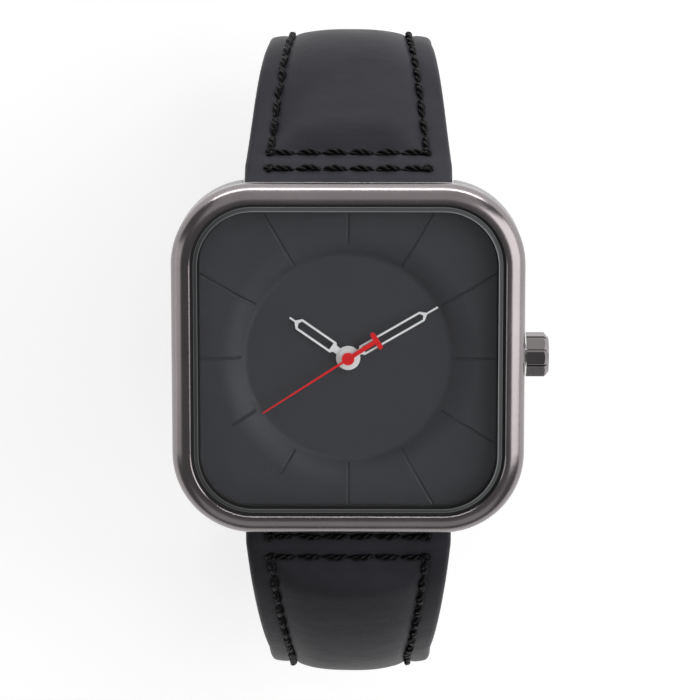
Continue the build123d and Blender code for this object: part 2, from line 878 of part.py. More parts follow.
def make_resonator():
    """A small metal can that lies on the circuit board."""
    height = board_bottom + board_thickness + resonator_radius
    low = -movement_height / 2 + board_side_gap + resonator_radius
    start = -movement_width / 2 + 2 * board_side_gap
    return beam(resonator_radius, start, start + resonator_length, height, low)


# Crown, stem and setting parts

def stem_bore():
    return tube_radius - tube_wall


def make_crown_tube():
    start = cavity_radius + overrun
    end = half_case + tube_proud
    outer = beam(tube_radius, start, end, crown_height)
    return outer - beam(stem_bore(), start - overrun, end + overrun, crown_height)


def make_crown():
    """Nine shallow facets with narrow grooves between them."""
    start = half_case + crown_gap
    body = extrude(Circle(crown_radius), crown_length)
    body = chamfer(body.edges().sort_by(Axis.Z)[-1], crown_end_chamfer)
    prism = RegularPolygon(crown_radius - crown_flat_depth, crown_facets, major_radius=False, align=None)
    body = body & extrude(prism, crown_length)
    step = 360 / crown_facets
    for index in range(crown_facets):
        depth = crown_groove_depth + crown_flat_depth + overrun
        cutter = Pos(crown_radius - crown_groove_depth - crown_flat_depth + depth / 2, 0, crown_length / 2)
        cutter = cutter * Box(depth, crown_groove_width, crown_length + overrun)
        body -= Rot(0, 0, step * index) * cutter
    body -= extrude(Circle(crown_socket_radius), crown_socket_depth)
    return Pos(start, 0, crown_height) * Rot(0, 90, 0) * body


def make_winding_stem():
    start = stem_inner_end
    end = half_case + crown_gap + crown_socket_depth
    stem = beam(stem_radius, start, end, crown_height)
    groove = beam(2 * stem_radius, stem_groove_place, stem_groove_place + stem_groove_width, crown_height)
    core = beam(stem_groove_radius, stem_groove_place, stem_groove_place + stem_groove_width, crown_height)
    stem -= groove - core
    collar_start = stem_inner_end
    collar_end = sliding_pinion_place + 2 * sliding_pinion_length
    rod = beam(2 * stem_radius, collar_start - overrun, collar_end, crown_height)
    length = collar_end - collar_start + overrun
    square = Pos(collar_end - length / 2, 0, crown_height) * Box(length, stem_square, stem_square)
    return stem - (rod - square)


def make_crown_gasket():
    """A rubber ring in the crown's socket that grips the tube."""
    start = half_case + crown_gap + 2 * stem_clearance
    end = half_case + tube_proud - 2 * stem_clearance
    outer = beam(tube_radius + stem_clearance + crown_gasket_thickness, start, end, crown_height)
    return outer - beam(tube_radius + stem_clearance, start - overrun, end + overrun, crown_height)


def make_sliding_pinion():
    start = sliding_pinion_place
    body = gear(sliding_pinion_teeth, 2 * sliding_pinion_radius / (sliding_pinion_teeth + 2),
                0, sliding_pinion_length, 0)
    neck_bottom = (sliding_pinion_length - sliding_neck_width) / 2
    body -= tube(2 * sliding_pinion_radius, sliding_neck_radius, neck_bottom,
                 neck_bottom + sliding_neck_width)
    side = stem_square + 2 * stem_clearance
    body -= extrude(Rectangle(side, side), sliding_pinion_length)
    return Pos(start, 0, crown_height) * Rot(0, 90, 0) * body


def lever_bottom():
    return crown_height - stem_radius - stem_clearance - lever_thickness


def lever_place():
    return stem_groove_place + stem_groove_width / 2, -lever_length


def make_setting_lever():
    """A plate on a post, with a nib that rides in the stem's groove."""
    x, y = lever_place()
    arm = Pos(x, -lever_length / 2) * Rectangle(lever_width, lever_length)
    shape = arm + Pos(x, 0) * Circle(lever_width / 2) + Pos(x, y) * Circle(lever_width)
    bottom = lever_bottom()
    lever = slab(shape, bottom, bottom + lever_thickness)
    nib_top = crown_height - stem_groove_radius - stem_clearance
    lever += disc(lever_nib_radius, bottom, nib_top, (x, 0))
    return lever - disc(lever_pivot_radius + pivot_clearance, 0, bezel_top, (x, y))


def make_spring_bar(side):
    """A tube with a thin pin at each end that springs into the case."""
    tube_end = notch_half - bar_tube_end_gap
    pin_end = notch_half + lug_hole_depth - lug_hole_clearance
    bar = beam(bar_pin_radius, -pin_end, pin_end, offset=side * bar_offset)
    bar += beam(bar_tube_radius, -tube_end, tube_end, offset=side * bar_offset)
    for end in (-1, 1):
        near = end * tube_end
        far = end * (tube_end + bar_collar_width)
        bar += beam(bar_collar_radius, min(near, far), max(near, far), offset=side * bar_offset)
    return bar


# Strap halves. Each is worked out towards +Y and the lower one is then mirrored.

class Route:
    """The outer face of a strap half as bends and straights, with a frame at each length."""

    def __init__(self, exit_angle, runs, marks=()):
        angle = math.radians(exit_angle)
        self.start = (bar_offset + loop_radius * math.sin(angle), bar_height + loop_radius * math.cos(angle))
        self.exit = angle
        self.runs = runs
        self.marks = list(marks)
        self.length = sum(length for length, turn in runs)

    def at(self, distance):
        """Place and heading on the outer face, a distance along it."""
        y, z = self.start
        angle = self.exit
        left = distance
        for length, turn in self.runs:
            part = min(left, length)
            bend = math.radians(turn) * part / length
            if abs(bend) > 0:
                radius = part / bend
                y += radius * (math.sin(angle + bend) - math.sin(angle))
                z += radius * (math.cos(angle + bend) - math.cos(angle))
            else:
                y += part * math.cos(angle)
                z -= part * math.sin(angle)
            angle += bend
            left -= part
            if left <= 0:
                break
        return y, z, angle

    def plane(self, distance):
        """Cross-section plane with X across the strap and its own Y outwards."""
        y, z, angle = self.at(distance)
        return Plane(origin=(0, y, z), x_dir=(1, 0, 0),
                     z_dir=(0, -math.cos(angle), math.sin(angle)))

    def outward(self, distance):
        """A plane that lies on the outer face and looks away from it."""
        y, z, angle = self.at(distance)
        return Plane(origin=(0, y, z), x_dir=(1, 0, 0), z_dir=(0, math.sin(angle), math.cos(angle)))

    def stations(self, marks):
        """Lengths along the face: every bend's ends, the marks, and steps between."""
        ends = [0]
        for length, turn in self.runs:
            ends.append(ends[-1] + length)
        inside = [mark for mark in marks + self.marks if 0 < mark < self.length]
        stops = sorted(set(ends + inside))
        lengths = [0]
        for near, far in zip(stops, stops[1:]):
            if far - near < stem_clearance:
                continue
            steps = max(1, math.ceil((far - near) / station_step))
            for index in range(1, steps + 1):
                lengths.append(near + (far - near) * index / steps)
        return lengths


def arc(radius, turn):
    return abs(radius * math.radians(turn)), turn


def upper_route():
    """The upper half, brought round under the head to the buckle's place."""
    shown = [arc(upper_hollow_radius, -upper_hollow_turn), arc(upper_wide_radius, upper_wide_turn)]
    route = Route(upper_exit, shown)
    y, z, angle = route.at(route.length)
    out, floor = lower_lowest()
    face = floor + keeper_room + keeper_thickness
    side = (z - upper_tight_radius * (1 + math.cos(angle)) - face) / math.sin(angle)
    y += side * math.cos(angle) - upper_tight_radius * math.sin(angle)
    turn = 180 - upper_exit + upper_hollow_turn - upper_wide_turn
    level = y + out - buckle_offset
    return Route(upper_exit, shown + [(side, 0), arc(upper_tight_radius, turn), (level, 0)])


def lower_lowest():
    """How far out and how high the lower half's lowest point is."""
    bends = [arc(lower_first_radius, lower_first_turn), arc(lower_wide_radius, lower_wide_turn)]
    turned = lower_exit + lower_first_turn + lower_wide_turn
    route = Route(lower_exit, bends + [arc(lower_tight_radius, 180 - turned)])
    y, z, angle = route.at(route.length)
    return y, z


def lower_route():
    turned = lower_exit + lower_first_turn + lower_wide_turn + lower_tight_turn
    back = turned - 180 - lower_tail_slope
    runs = [arc(lower_first_radius, lower_first_turn), arc(lower_wide_radius, lower_wide_turn),
            arc(lower_tight_radius, lower_tight_turn), (lower_rise, 0),
            arc(lower_back_radius, -back), (lower_level, 0)]
    length = sum(run[0] for run in runs)
    steps = len(tip_width_shares) - 1
    return Route(lower_exit, runs, [length - tip_length * (1 - index / steps) for index in range(steps + 1)])


def strap_width_at(distance):
    return max(strap_narrow_width, strap_width - taper_share * max(0, distance - taper_start))


def crown_at(distance, fade, end):
    """Height of the padding's crown, rising past the boundary seam and fading to nothing."""
    rise = min(1, max(0, (distance - pad_start) / pad_rise))
    fall = min(1, max(0, (end - distance) / (end - fade)))
    rise = math.sin(rise * math.pi / 2)
    fall = math.sin(fall * math.pi / 2) ** 2
    return max(pad_flat, pad_height * min(rise, fall))


def lining_at(distance):
    """Lining thickness, with the cover's turned-back flap under it near the bar."""
    share = min(1, max(0, 1 - distance / flap_length))
    return lining_thickness + flap_extra * share


def cover_wire(plane, width, height):
    half = width / 2
    pad = half - pad_margin
    low = -cover_thickness
    edges = [
        Line((-half, 0), (-pad, 0)),
        ThreePointArc((-pad, 0), (0, height), (pad, 0)),
        Line((pad, 0), (half, 0)),
        Line((half, 0), (half, low)),
        Line((half, low), (pad, low)),
        ThreePointArc((pad, low), (0, low + height), (-pad, low)),
        Line((-pad, low), (-half, low)),
        Line((-half, low), (-half, 0)),
    ]
    return plane * Wire(edges)


def padding_wire(plane, width, height):
    pad = width / 2 - pad_margin
    low = -cover_thickness
    edges = [
        ThreePointArc((-pad, low), (0, low + height), (pad, low)),
        Line((pad, low), (-pad, low)),
    ]
    return plane * Wire(edges)


def lining_wire(plane, width, thickness):
    half = width / 2
    top = -cover_thickness
    return plane * Wire(Polyline((-half, top), (half, top), (half, top - thickness),
                                 (-half, top - thickness), close=True).edges())


def loop_ring(y, z, bore, width):
    """The end of the cover, wrapped round a bar."""
    ring = Circle(loop_radius) - Circle(bore)
    return Pos(-width / 2, y, z) * Rot(0, 90, 0) * extrude(ring, width)


def strap_stations(route, fade, end):
    marks = [lining_start(), taper_start, pad_start, pad_start + pad_rise / 3, pad_start + pad_rise,
             flap_length, fade, end]
    return route.stations(marks)


def lining_start():
    return loop_radius + lining_gap


def make_cover(route, fade, end, width_at, last):
    lengths = [length for length in strap_stations(route, fade, end) if length < last] + [last]
    wires = [cover_wire(route.plane(length), width_at(length), crown_at(length, fade, end))
             for length in lengths]
    return Solid.make_loft(wires, True)


def make_padding(route, fade, end):
    lengths = [length for length in strap_stations(route, fade, end)
               if pad_start <= length <= end]
    wires = [padding_wire(route.plane(length), strap_width_at(length), crown_at(length, fade, end))
             for length in lengths]
    return Solid.make_loft(wires, True)


def make_lining(route, fade, end, width_at, last):
    lengths = [length for length in strap_stations(route, fade, end)
               if lining_start() <= length < last] + [last]
    wires = [lining_wire(route.plane(length), width_at(length), lining_at(length)) for length in lengths]
    return Solid.make_loft(wires, True)


def bar_bore():
    return loop_radius - loop_wall


def loop_centre(route, distance):
    """Centre of a loop that is tangent to the outer face at a length."""
    y, z, angle = route.at(distance)
    return y - loop_radius * math.sin(angle), z - loop_radius * math.cos(angle)


def buckle_place(route):
    return loop_centre(route, route.length)


def tongue_slot_cut(route):
    """The slot in the strap's end that the tongue comes through."""
    y, z = buckle_place(route)
    length = tongue_slot_length + loop_radius + overrun
    room = Box(tongue_slot, length, 2 * (loop_radius + overrun))
    return Pos(0, y + tongue_slot_length - length / 2, z) * room


def make_strap_12():
    route = upper_route()
    last = route.length - lining_start()
    cover = make_cover(route, upper_pad_fade, upper_pad_end, strap_width_at, route.length)
    cover = Part(cover.wrapped) + loop_ring(bar_offset, bar_height, bar_bore(), strap_width)
    y, z = buckle_place(route)
    cover += loop_ring(y, z, bar_bore(), strap_narrow_width)
    cover -= beam(bar_bore(), -strap_width, strap_width, bar_height, bar_offset)
    cover -= beam(bar_bore(), -strap_width, strap_width, z, y)
    lining = Part(make_lining(route, upper_pad_fade, upper_pad_end, strap_width_at, last).wrapped)
    slot = tongue_slot_cut(route)
    padding = Part(make_padding(route, upper_pad_fade, upper_pad_end).wrapped)
    return {"cover": cover - slot, "padding": padding, "lining": lining - slot}


def tip_width_at(distance, length):
    """The lower half's width, narrowing over its tip."""
    past = (distance - (length - tip_length)) / tip_length
    width = strap_width_at(distance)
    if past <= 0:
        return width
    place = past * (len(tip_width_shares) - 1)
    index = min(int(place), len(tip_width_shares) - 2)
    near, far = tip_width_shares[index:index + 2]
    share = near + (place - index) * (far - near)
    return 2 * pad_margin + share * (width - 2 * pad_margin)


def make_strap_6():
    route = lower_route()

    def width_at(distance):
        return tip_width_at(distance, route.length)

    cover = make_cover(route, lower_pad_fade, lower_pad_end, width_at, route.length)
    cover = Part(cover.wrapped) + loop_ring(bar_offset, bar_height, bar_bore(), strap_width)
    cover -= beam(bar_bore(), -strap_width, strap_width, bar_height, bar_offset)
    lining = Part(make_lining(route, lower_pad_fade, lower_pad_end, width_at, route.length).wrapped)
    for index in range(hole_count):
        distance = route.length - hole_from_tip - index * hole_spacing
        reach = cover_thickness + lining_thickness + overrun
        hole = extrude(route.outward(distance) * Circle(hole_radius), reach, both=True)
        cover -= hole
        lining -= hole
    padding = Part(make_padding(route, lower_pad_fade, lower_pad_end).wrapped)
    return {"cover": cover, "padding": padding, "lining": lining}


# Stitching, one short raised stitch after another

def stitch(plane, x, size_across, size_along):
    """One stitch, rooted under the strap's face until the cover is cut away from it."""
    block = Box(size_across, stitch_height + stitch_root, size_along)
    return plane * Pos(x, pad_flat + (stitch_height - stitch_root) / 2, 0) * block


def make_stitching(route, end, cover):
    stitches = []
    for distance, inset in ((stitch_edge_place, 2 * pad_margin), (pad_start - stitch_width, 2 * pad_margin)):
        row = strap_width_at(distance) - inset
        count = int(row // stitch_pitch)
        for index in range(count):
            x = (index - (count - 1) / 2) * stitch_pitch
            stitches.append(stitch(route.plane(distance), x, stitch_length, stitch_width))
    distance = pad_start + stitch_pitch / 2
    while distance < end - stitch_pitch:
        for side in (-1, 1):
            x = side * (strap_width_at(distance) / 2 - stitch_side_inset + stitch_width / 2)
            stitches.append(stitch(route.plane(distance), x, stitch_width, stitch_length))
        distance += stitch_pitch
    return Compound(children=[piece - cover for piece in stitches])


# Buckle and keepers

def make_buckle_bar():
    y, z = buckle_place(upper_route())
    return beam(buckle_bar_radius, -buckle_bar_length / 2, buckle_bar_length / 2, z, y)


def make_buckle_frame():
    y, z = buckle_place(upper_route())
    outer_width = buckle_inner_width + 2 * buckle_wall
    length = buckle_reach
    plate = RectangleRounded(outer_width, 2 * length, buckle_corner_radius)
    window_length = 2 * (length - buckle_wall)
    window = RectangleRounded(buckle_inner_width, window_length, buckle_corner_radius - buckle_wall / 2)
    ring = slab(plate - window, -buckle_depth / 2, buckle_depth / 2)
    rims = ring.edges().group_by(Axis.Z)
    ring = fillet(rims[0] + rims[-1], buckle_edge_radius)
    frame = ring & Pos(0, -length, 0) * Box(2 * outer_width, 2 * length, 2 * buckle_depth)
    for side in (-1, 1):
        start = side * buckle_inner_width / 2
        end = side * outer_width / 2
        frame += beam(buckle_ear_radius, min(start, end), max(start, end), 0, 0)
    frame -= beam(buckle_bar_radius + buckle_ear_clearance, -outer_width, outer_width, 0, 0)
    notch = Pos(0, -length, -buckle_depth / 2)
    frame -= notch * Box(tongue_width + 4 * tongue_clearance, 3 * buckle_wall, 2 * rail_notch_depth)
    return Pos(0, y, z) * frame


def make_buckle_tongue():
    """A flat pin that wraps the bar and rests in the notch of the frame's rail."""
    y, z = buckle_place(upper_route())
    end = -(buckle_reach + tongue_overhang)
    rail = -(buckle_reach - buckle_wall - tongue_clearance)
    rest_top = -buckle_depth / 2 + rail_notch_depth - tongue_clearance
    top = tongue_thickness / 2
    hub_edge = -buckle_bar_radius
    points = [(hub_edge, top), (2 * hub_edge, top), (rail, rest_top), (end, rest_top),
              (end, rest_top - tongue_thickness / 2), (rail, rest_top - tongue_thickness),
              (2 * hub_edge, -top), (hub_edge, -top)]
    profile = Plane.YZ * make_face(Polyline(*points, close=True))
    blade = extrude(profile, tongue_width / 2, both=True)
    blade += beam(tongue_hub_radius, -tongue_width / 2, tongue_width / 2, 0, 0)
    blade -= beam(buckle_bar_radius + tongue_clearance, -tongue_width, tongue_width, 0, 0)
    return Pos(0, y, z) * blade


def keeper(place, width):
    """A leather band round the strap, with room outside it for the other half's tail."""
    bar_y, bar_z = buckle_place(upper_route())
    y = bar_y + place
    outer_face = bar_z - loop_radius
    inner_face = outer_face + cover_thickness + lining_thickness
    half = strap_narrow_width / 2 + keeper_clearance
    top = inner_face + keeper_clearance
    low = outer_face - keeper_room
    middle = (top + low) / 2
    hollow = RectangleRounded(2 * half, top - low, keeper_thickness / 2)
    band = RectangleRounded(2 * (half + keeper_thickness), top - low + 2 * keeper_thickness,
                            keeper_thickness * 1.5)
    ring = Rot(90, 0, 0) * extrude(band - hollow, width / 2, both=True)
    return Pos(0, y, middle) * ring


os.makedirs("parts", exist_ok=True)

nodes = {
    "case_middle": make_case_middle,
    "case_back": make_case_back,
    "case_back_screws": make_back_screws,
    "case_back_gasket": make_back_gasket,
    "bezel": make_bezel,
    "crystal_gasket": make_crystal_gasket,
    "crystal": make_crystal,
    "dial": make_dial,
    "hour_hand": make_hour_hand,
    "minute_hand": make_minute_hand,
    "second_hand": make_second_hand,
    "hour_wheel": make_hour_wheel,
    "minute_wheel": make_minute_wheel,
    "cannon_pinion": make_cannon_pinion,
    "centre_wheel": make_centre_wheel,
    "third_wheel": make_third_wheel,
    "seconds_wheel": make_seconds_wheel,
    "fifth_wheel": make_fifth_wheel,
    "rotor": make_rotor,
    "dial_washer": make_dial_washer,
    "main_plate": make_main_plate,
    "train_bridge": make_train_bridge,
    "bridge_screws": make_bridge_screws,
    "movement_holder": make_movement_holder,
    "battery": make_battery,
    "battery_clamp": make_battery_clamp,
    "coil_core": make_coil_core,
    "coil_winding": make_coil_winding,
    "stator": make_stator,
    "circuit_board": make_circuit_board,
    "quartz_resonator": make_resonator,
    "crown_tube": make_crown_tube,
    "crown": make_crown,
    "winding_stem": make_winding_stem,
    "crown_gasket": make_crown_gasket,
    "sliding_pinion": make_sliding_pinion,
    "setting_lever": make_setting_lever,
    "buckle_bar": make_buckle_bar,
    "buckle_frame": make_buckle_frame,
    "buckle_tongue": make_buckle_tongue,
}
for node, make in nodes.items():
    save(node, make())

save("spring_bar_12", make_spring_bar(1))
save("spring_bar_6", make_spring_bar(-1))
save("fixed_keeper", keeper(fixed_keeper_place, fixed_keeper_width))
save("free_keeper", keeper(free_keeper_place, free_keeper_width))

strap_12 = make_strap_12()
strap_6 = make_strap_6()
strap_12["stitching"] = make_stitching(upper_route(), upper_pad_end, strap_12["cover"])
strap_6["stitching"] = make_stitching(lower_route(), lower_pad_end, strap_6["cover"])
for name in strap_12:
    save(f"strap_12_{name}", strap_12[name])
    save(f"strap_6_{name}", mirror(strap_6[name], Plane.XZ))
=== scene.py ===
import itertools
import json
import math

import bmesh
import bpy
from mathutils import Matrix, Vector, noise


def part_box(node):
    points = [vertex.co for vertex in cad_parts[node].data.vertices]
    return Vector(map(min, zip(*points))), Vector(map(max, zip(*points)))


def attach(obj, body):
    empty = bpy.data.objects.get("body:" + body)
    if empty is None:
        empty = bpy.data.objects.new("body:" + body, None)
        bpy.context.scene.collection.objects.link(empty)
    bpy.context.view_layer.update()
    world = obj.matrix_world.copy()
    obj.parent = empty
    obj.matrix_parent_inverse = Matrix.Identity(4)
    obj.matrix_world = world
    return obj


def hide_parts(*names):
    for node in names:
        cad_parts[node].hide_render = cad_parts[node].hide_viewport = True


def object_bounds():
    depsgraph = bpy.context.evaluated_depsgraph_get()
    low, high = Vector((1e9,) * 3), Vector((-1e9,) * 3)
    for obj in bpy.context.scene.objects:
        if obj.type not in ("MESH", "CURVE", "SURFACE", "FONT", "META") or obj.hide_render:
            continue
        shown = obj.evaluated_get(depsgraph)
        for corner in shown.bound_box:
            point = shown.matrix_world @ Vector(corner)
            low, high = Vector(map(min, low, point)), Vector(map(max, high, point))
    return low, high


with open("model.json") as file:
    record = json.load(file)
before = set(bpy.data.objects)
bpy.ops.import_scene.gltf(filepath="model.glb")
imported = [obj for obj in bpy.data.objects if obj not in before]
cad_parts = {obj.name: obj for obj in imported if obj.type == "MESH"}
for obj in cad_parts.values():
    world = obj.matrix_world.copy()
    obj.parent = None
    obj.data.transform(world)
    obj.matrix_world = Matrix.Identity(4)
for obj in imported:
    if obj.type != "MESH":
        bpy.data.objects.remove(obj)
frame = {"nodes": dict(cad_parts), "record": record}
cad_low, cad_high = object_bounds()
nodes = frame["nodes"]
scene = bpy.context.scene
MM = 0.001

# Sizes in millimetres. These are shared with the model; the others stand by the pieces they shape
BAR_OFFSET = 18.3
BAR_HEIGHT = 3.3
LOOP_RADIUS = 1.9
LOOP_WALL = 1.05
STRAP_WIDTH = 24.0
STRAP_NARROW = 20.0
TAPER_START = 4.3
TAPER_SHARE = 0.15
COVER_THICKNESS = 1.2
LINING_THICKNESS = 1.1
LINING_START = 2.35
FLAP_LENGTH = 8.0
FLAP_EXTRA = 0.7
PAD_START = 6.4
PAD_RISE = 4.6
PAD_HEIGHT = 1.5
PAD_MARGIN = 3.1
HOLE_RADIUS = 0.95
HOLE_COUNT = 7
HOLE_SPACING = 6.0
HOLE_FROM_TIP = 20.0
TIP_LENGTH = 8.0
TONGUE_SLOT = 2.7
TONGUE_SLOT_LENGTH = 4.0
KEEPER_THICKNESS = 1.1
CRYSTAL_CHAMFER = 0.5
# Width of the painted highlight along the crystal rim's top and bottom edges, in millimetres
ARRIS_HIGHLIGHT_WIDTH = 0.08


# Node material helpers

class Nodes:
    """A short way to write a node material."""

    def __init__(self, name):
        self.material = bpy.data.materials.new(name)
        self.material.use_nodes = True
        self.tree = self.material.node_tree
        self.shader = self.tree.nodes["Principled BSDF"]
        self.output = self.tree.nodes["Material Output"]
        self.place = self.add("ShaderNodeTexCoord").outputs["Object"]

    def add(self, kind, **values):
        node = self.tree.nodes.new(kind)
        for key, value in values.items():
            setattr(node, key, value)
        return node

    def link(self, source, target):
        self.tree.links.new(source, target)

    def scaled(self, scale):
        """Object coordinates times a scale for each axis."""
        mapping = self.add("ShaderNodeMapping")
        mapping.inputs["Scale"].default_value = scale
        self.link(self.place, mapping.inputs["Vector"])
        return mapping.outputs["Vector"]

    def noise(self, size, detail=4.0, rough=0.55, place=None, distortion=0.0):
        """Noise whose features are about size millimetres."""
        node = self.add("ShaderNodeTexNoise")
        self.link(place or self.place, node.inputs["Vector"])
        node.inputs["Scale"].default_value = 1 / (size * MM)
        node.inputs["Detail"].default_value = detail
        node.inputs["Roughness"].default_value = rough
        node.inputs["Distortion"].default_value = distortion
        return node.outputs["Fac"]

    def cells(self, size, feature="F1"):
        node = self.add("ShaderNodeTexVoronoi", feature=feature)
        self.link(self.place, node.inputs["Vector"])
        node.inputs["Scale"].default_value = 1 / (size * MM)
        return node.outputs["Distance"]

    def ramp(self, value, low, high, from_low=0.3, from_high=0.7):
        """A value spread between two numbers."""
        node = self.add("ShaderNodeMapRange")
        node.inputs["From Min"].default_value = from_low
        node.inputs["From Max"].default_value = from_high
        node.inputs["To Min"].default_value = low
        node.inputs["To Max"].default_value = high
        self.link(value, node.inputs["Value"])
        return node.outputs["Result"]

    def mix(self, factor, first, second):
        """A colour between two colours."""
        node = self.add("ShaderNodeMix", data_type="RGBA")
        self.link(factor, node.inputs["Factor"])
        for index, colour in ((6, first), (7, second)):
            if isinstance(colour, tuple):
                node.inputs[index].default_value = (*colour, 1)
            else:
                self.link(colour, node.inputs[index])
        return node.outputs[2]

    def math(self, operation, first, second):
        node = self.add("ShaderNodeMath", operation=operation)
        for index, value in enumerate((first, second)):
            if isinstance(value, (int, float)):
                node.inputs[index].default_value = value
            else:
                self.link(value, node.inputs[index])
        return node.outputs[0]

    def blend(self, first, first_share, second, second_share):
        """Two values added in the given shares."""
        return self.math("ADD", self.math("MULTIPLY", first, first_share),
                         self.math("MULTIPLY", second, second_share))

    def bump(self, height, depth, strength=1.0, before=None):
        """Bump of a real depth in millimetres."""
        node = self.add("ShaderNodeBump")
        node.inputs["Distance"].default_value = depth * MM
        node.inputs["Strength"].default_value = strength
        self.link(height, node.inputs["Height"])
        if before:
            self.link(before, node.inputs["Normal"])
        return node.outputs["Normal"]

    def set(self, **values):
        for key, value in values.items():
            socket = self.shader.inputs[key.replace("_", " ")]
            if isinstance(value, (int, float, tuple)):
                socket.default_value = value
            else:
                self.link(value, socket)


def metal(name, dark, light, rough_low, rough_high, scratch=0.0015):
    """Polished or satin metal with faint handling marks."""
    m = Nodes(name)
    cloud = m.noise(9.0)
    fine = m.noise(0.35, 6.0, 0.65)
    streak = m.noise(1.2, 3.0, 0.5, m.scaled((1.0, 9.0, 9.0)))
    m.set(Base_Color=m.mix(m.ramp(cloud, 0, 1), dark, light), Metallic=1.0,
          Roughness=m.ramp(m.blend(cloud, 0.6, fine, 0.4), rough_low, rough_high),
          Normal=m.bump(m.math("ADD", fine, streak), scratch))
    return m.material


def plastic(name, dark, light, rough_low, rough_high):
    """Moulded plastic or rubber with a fine grain."""
    m = Nodes(name)
    cloud = m.noise(3.0)
    fine = m.noise(0.12, 3.0, 0.6)
    m.set(Base_Color=m.mix(m.ramp(cloud, 0, 1), dark, light),
          Roughness=m.ramp(fine, rough_low, rough_high), Normal=m.bump(fine, 0.01))
    return m.material


def leather(name, dark, light, rough_low, rough_high, grain=0.02):
    """Smooth calf leather: fine pores, soft creases whose hollows carry painted shade, and a little
    wear in the finish.
    """
    m = Nodes(name)
    cloud = m.noise(7.0, 3.0)
    crease = m.noise(1.6, 5.0, 0.6, m.scaled((0.45, 1.0, 1.0)), 0.6)
    pores = m.cells(0.42)
    fine = m.noise(0.16, 4.0, 0.6)
    # Colour: random tone mixed with painted shade, darker where the crease bump dips.
    tone_and_crease_shade = m.blend(cloud, 0.6, crease, 0.4)
    height = m.blend(pores, 0.5, fine, 0.5)
    soft = m.bump(crease, 0.07, 0.6)
    m.set(Base_Color=m.mix(m.ramp(tone_and_crease_shade, 0, 1), dark, light),
          Roughness=m.ramp(m.blend(fine, 0.5, cloud, 0.5), rough_low, rough_high),
          Normal=m.bump(height, grain, 0.8, soft), Specular_IOR_Level=0.05)
    return m.material


def thread_material():
    """Waxed thread: fine fibres along the twist."""
    m = Nodes("waxed_thread")
    fibre = m.noise(0.08, 4.0, 0.7)
    cloud = m.noise(0.9)
    m.set(Base_Color=m.mix(m.ramp(cloud, 0, 1), (0.0015, 0.0015, 0.002), (0.004, 0.004, 0.005)),
          Roughness=m.ramp(fibre, 0.26, 0.42), Normal=m.bump(fibre, 0.03),
          Specular_IOR_Level=0.14)
    return m.material


def dial_material():
    """Matt charcoal lacquer with a fine grain."""
    m = Nodes("charcoal_lacquer")
    grain = m.noise(0.07, 2.0, 0.7)
    cloud = m.noise(6.0)
    m.set(Base_Color=m.mix(m.ramp(grain, 0, 1), (0.0175, 0.018, 0.0235), (0.0255, 0.026, 0.034)),
          Roughness=m.ramp(cloud, 0.5, 0.6), Normal=m.bump(grain, 0.012, 0.7))
    return m.material


FLAT_FACE_NORMAL = 0.9


def crystal_material():
    """Clear mineral glass, which lets the lamps light the dial under it, with a ground rim whose two
    edges carry a painted highlight.
    """
    m = Nodes("mineral_glass")
    m.set(Base_Color=(0.97, 0.985, 0.985, 1), Roughness=0.0, Transmission_Weight=1.0, IOR=1.5)
    clear = m.add("ShaderNodeBsdfTransparent")
    path = m.add("ShaderNodeLightPath")
    blend = m.add("ShaderNodeMixShader")
    m.link(path.outputs["Is Shadow Ray"], blend.inputs[0])
    m.link(m.shader.outputs[0], blend.inputs[1])
    m.link(clear.outputs[0], blend.inputs[2])

    face_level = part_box("crystal")[1].z
    rim_level = face_level - CRYSTAL_CHAMFER * MM
    split = m.add("ShaderNodeSeparateXYZ")
    m.link(m.place, split.inputs[0])
    to_rim, to_face = [m.math("ABSOLUTE", m.math("SUBTRACT", split.outputs["Z"], level), 0.0)
                       for level in (rim_level, face_level)]
    # Painted highlight: the ground rim's colour turns lighter in thin bands along its top and bottom
    # edges, standing in for light caught by polished edges.
    painted_arris_highlight = m.ramp(m.math("MINIMUM", to_rim, to_face), 1.0, 0.0,
                   ARRIS_HIGHLIGHT_WIDTH * MM / 2, ARRIS_HIGHLIGHT_WIDTH * MM)
    ground = m.add("ShaderNodeBsdfPrincipled")
    m.link(m.mix(painted_arris_highlight, (0.12, 0.127, 0.13), (0.38, 0.395, 0.4)), ground.inputs["Base Color"])
    ground.inputs["Roughness"].default_value = 0.35
    face = m.add("ShaderNodeTexCoord").outputs["Normal"]
    normal = m.add("ShaderNodeSeparateXYZ")
    m.link(face, normal.inputs[0])
    flat = m.math("GREATER_THAN", m.math("ABSOLUTE", normal.outputs["Z"], 0.0), FLAT_FACE_NORMAL)
    both = m.add("ShaderNodeMixShader")
    m.link(flat, both.inputs[0])
    m.link(ground.outputs[0], both.inputs[1])
    m.link(blend.outputs[0], both.inputs[2])
    m.link(both.outputs[0], m.output.inputs["Surface"])
    return m.material


def hand_material():
    """Fine-brushed silvering."""
    m = Nodes("silvered_hand")
    brush = m.noise(0.05, 3.0, 0.6, m.scaled((1.0, 0.12, 1.0)))
    cloud = m.noise(1.5)
    m.set(Base_Color=m.mix(m.ramp(cloud, 0, 1), (0.9, 0.9, 0.91), (0.96, 0.96, 0.96)), Metallic=0.1,
          Roughness=m.ramp(brush, 0.3, 0.44), Normal=m.bump(brush, 0.006))
    return m.material


def red_material():
    """The second hand's red lacquer."""
    m = Nodes("red_lacquer")
    cloud = m.noise(1.0)
    fine = m.noise(0.1)
    m.set(Base_Color=m.mix(m.ramp(cloud, 0, 1), (0.68, 0.004, 0.007), (0.84, 0.007, 0.011)),
          Roughness=m.ramp(fine, 0.36, 0.48), Normal=m.bump(fine, 0.004), Specular_IOR_Level=0.25)
    return m.material


def felt_material():
    """Pressed felt with loose fibres."""
    m = Nodes("pressed_felt")
    fibre = m.noise(0.3, 5.0, 0.7, distortion=1.0)
    m.set(Base_Color=m.mix(m.ramp(fibre, 0, 1), (0.2, 0.19, 0.17), (0.34, 0.32, 0.3)),
          Roughness=0.95, Normal=m.bump(fibre, 0.08))
    return m.material


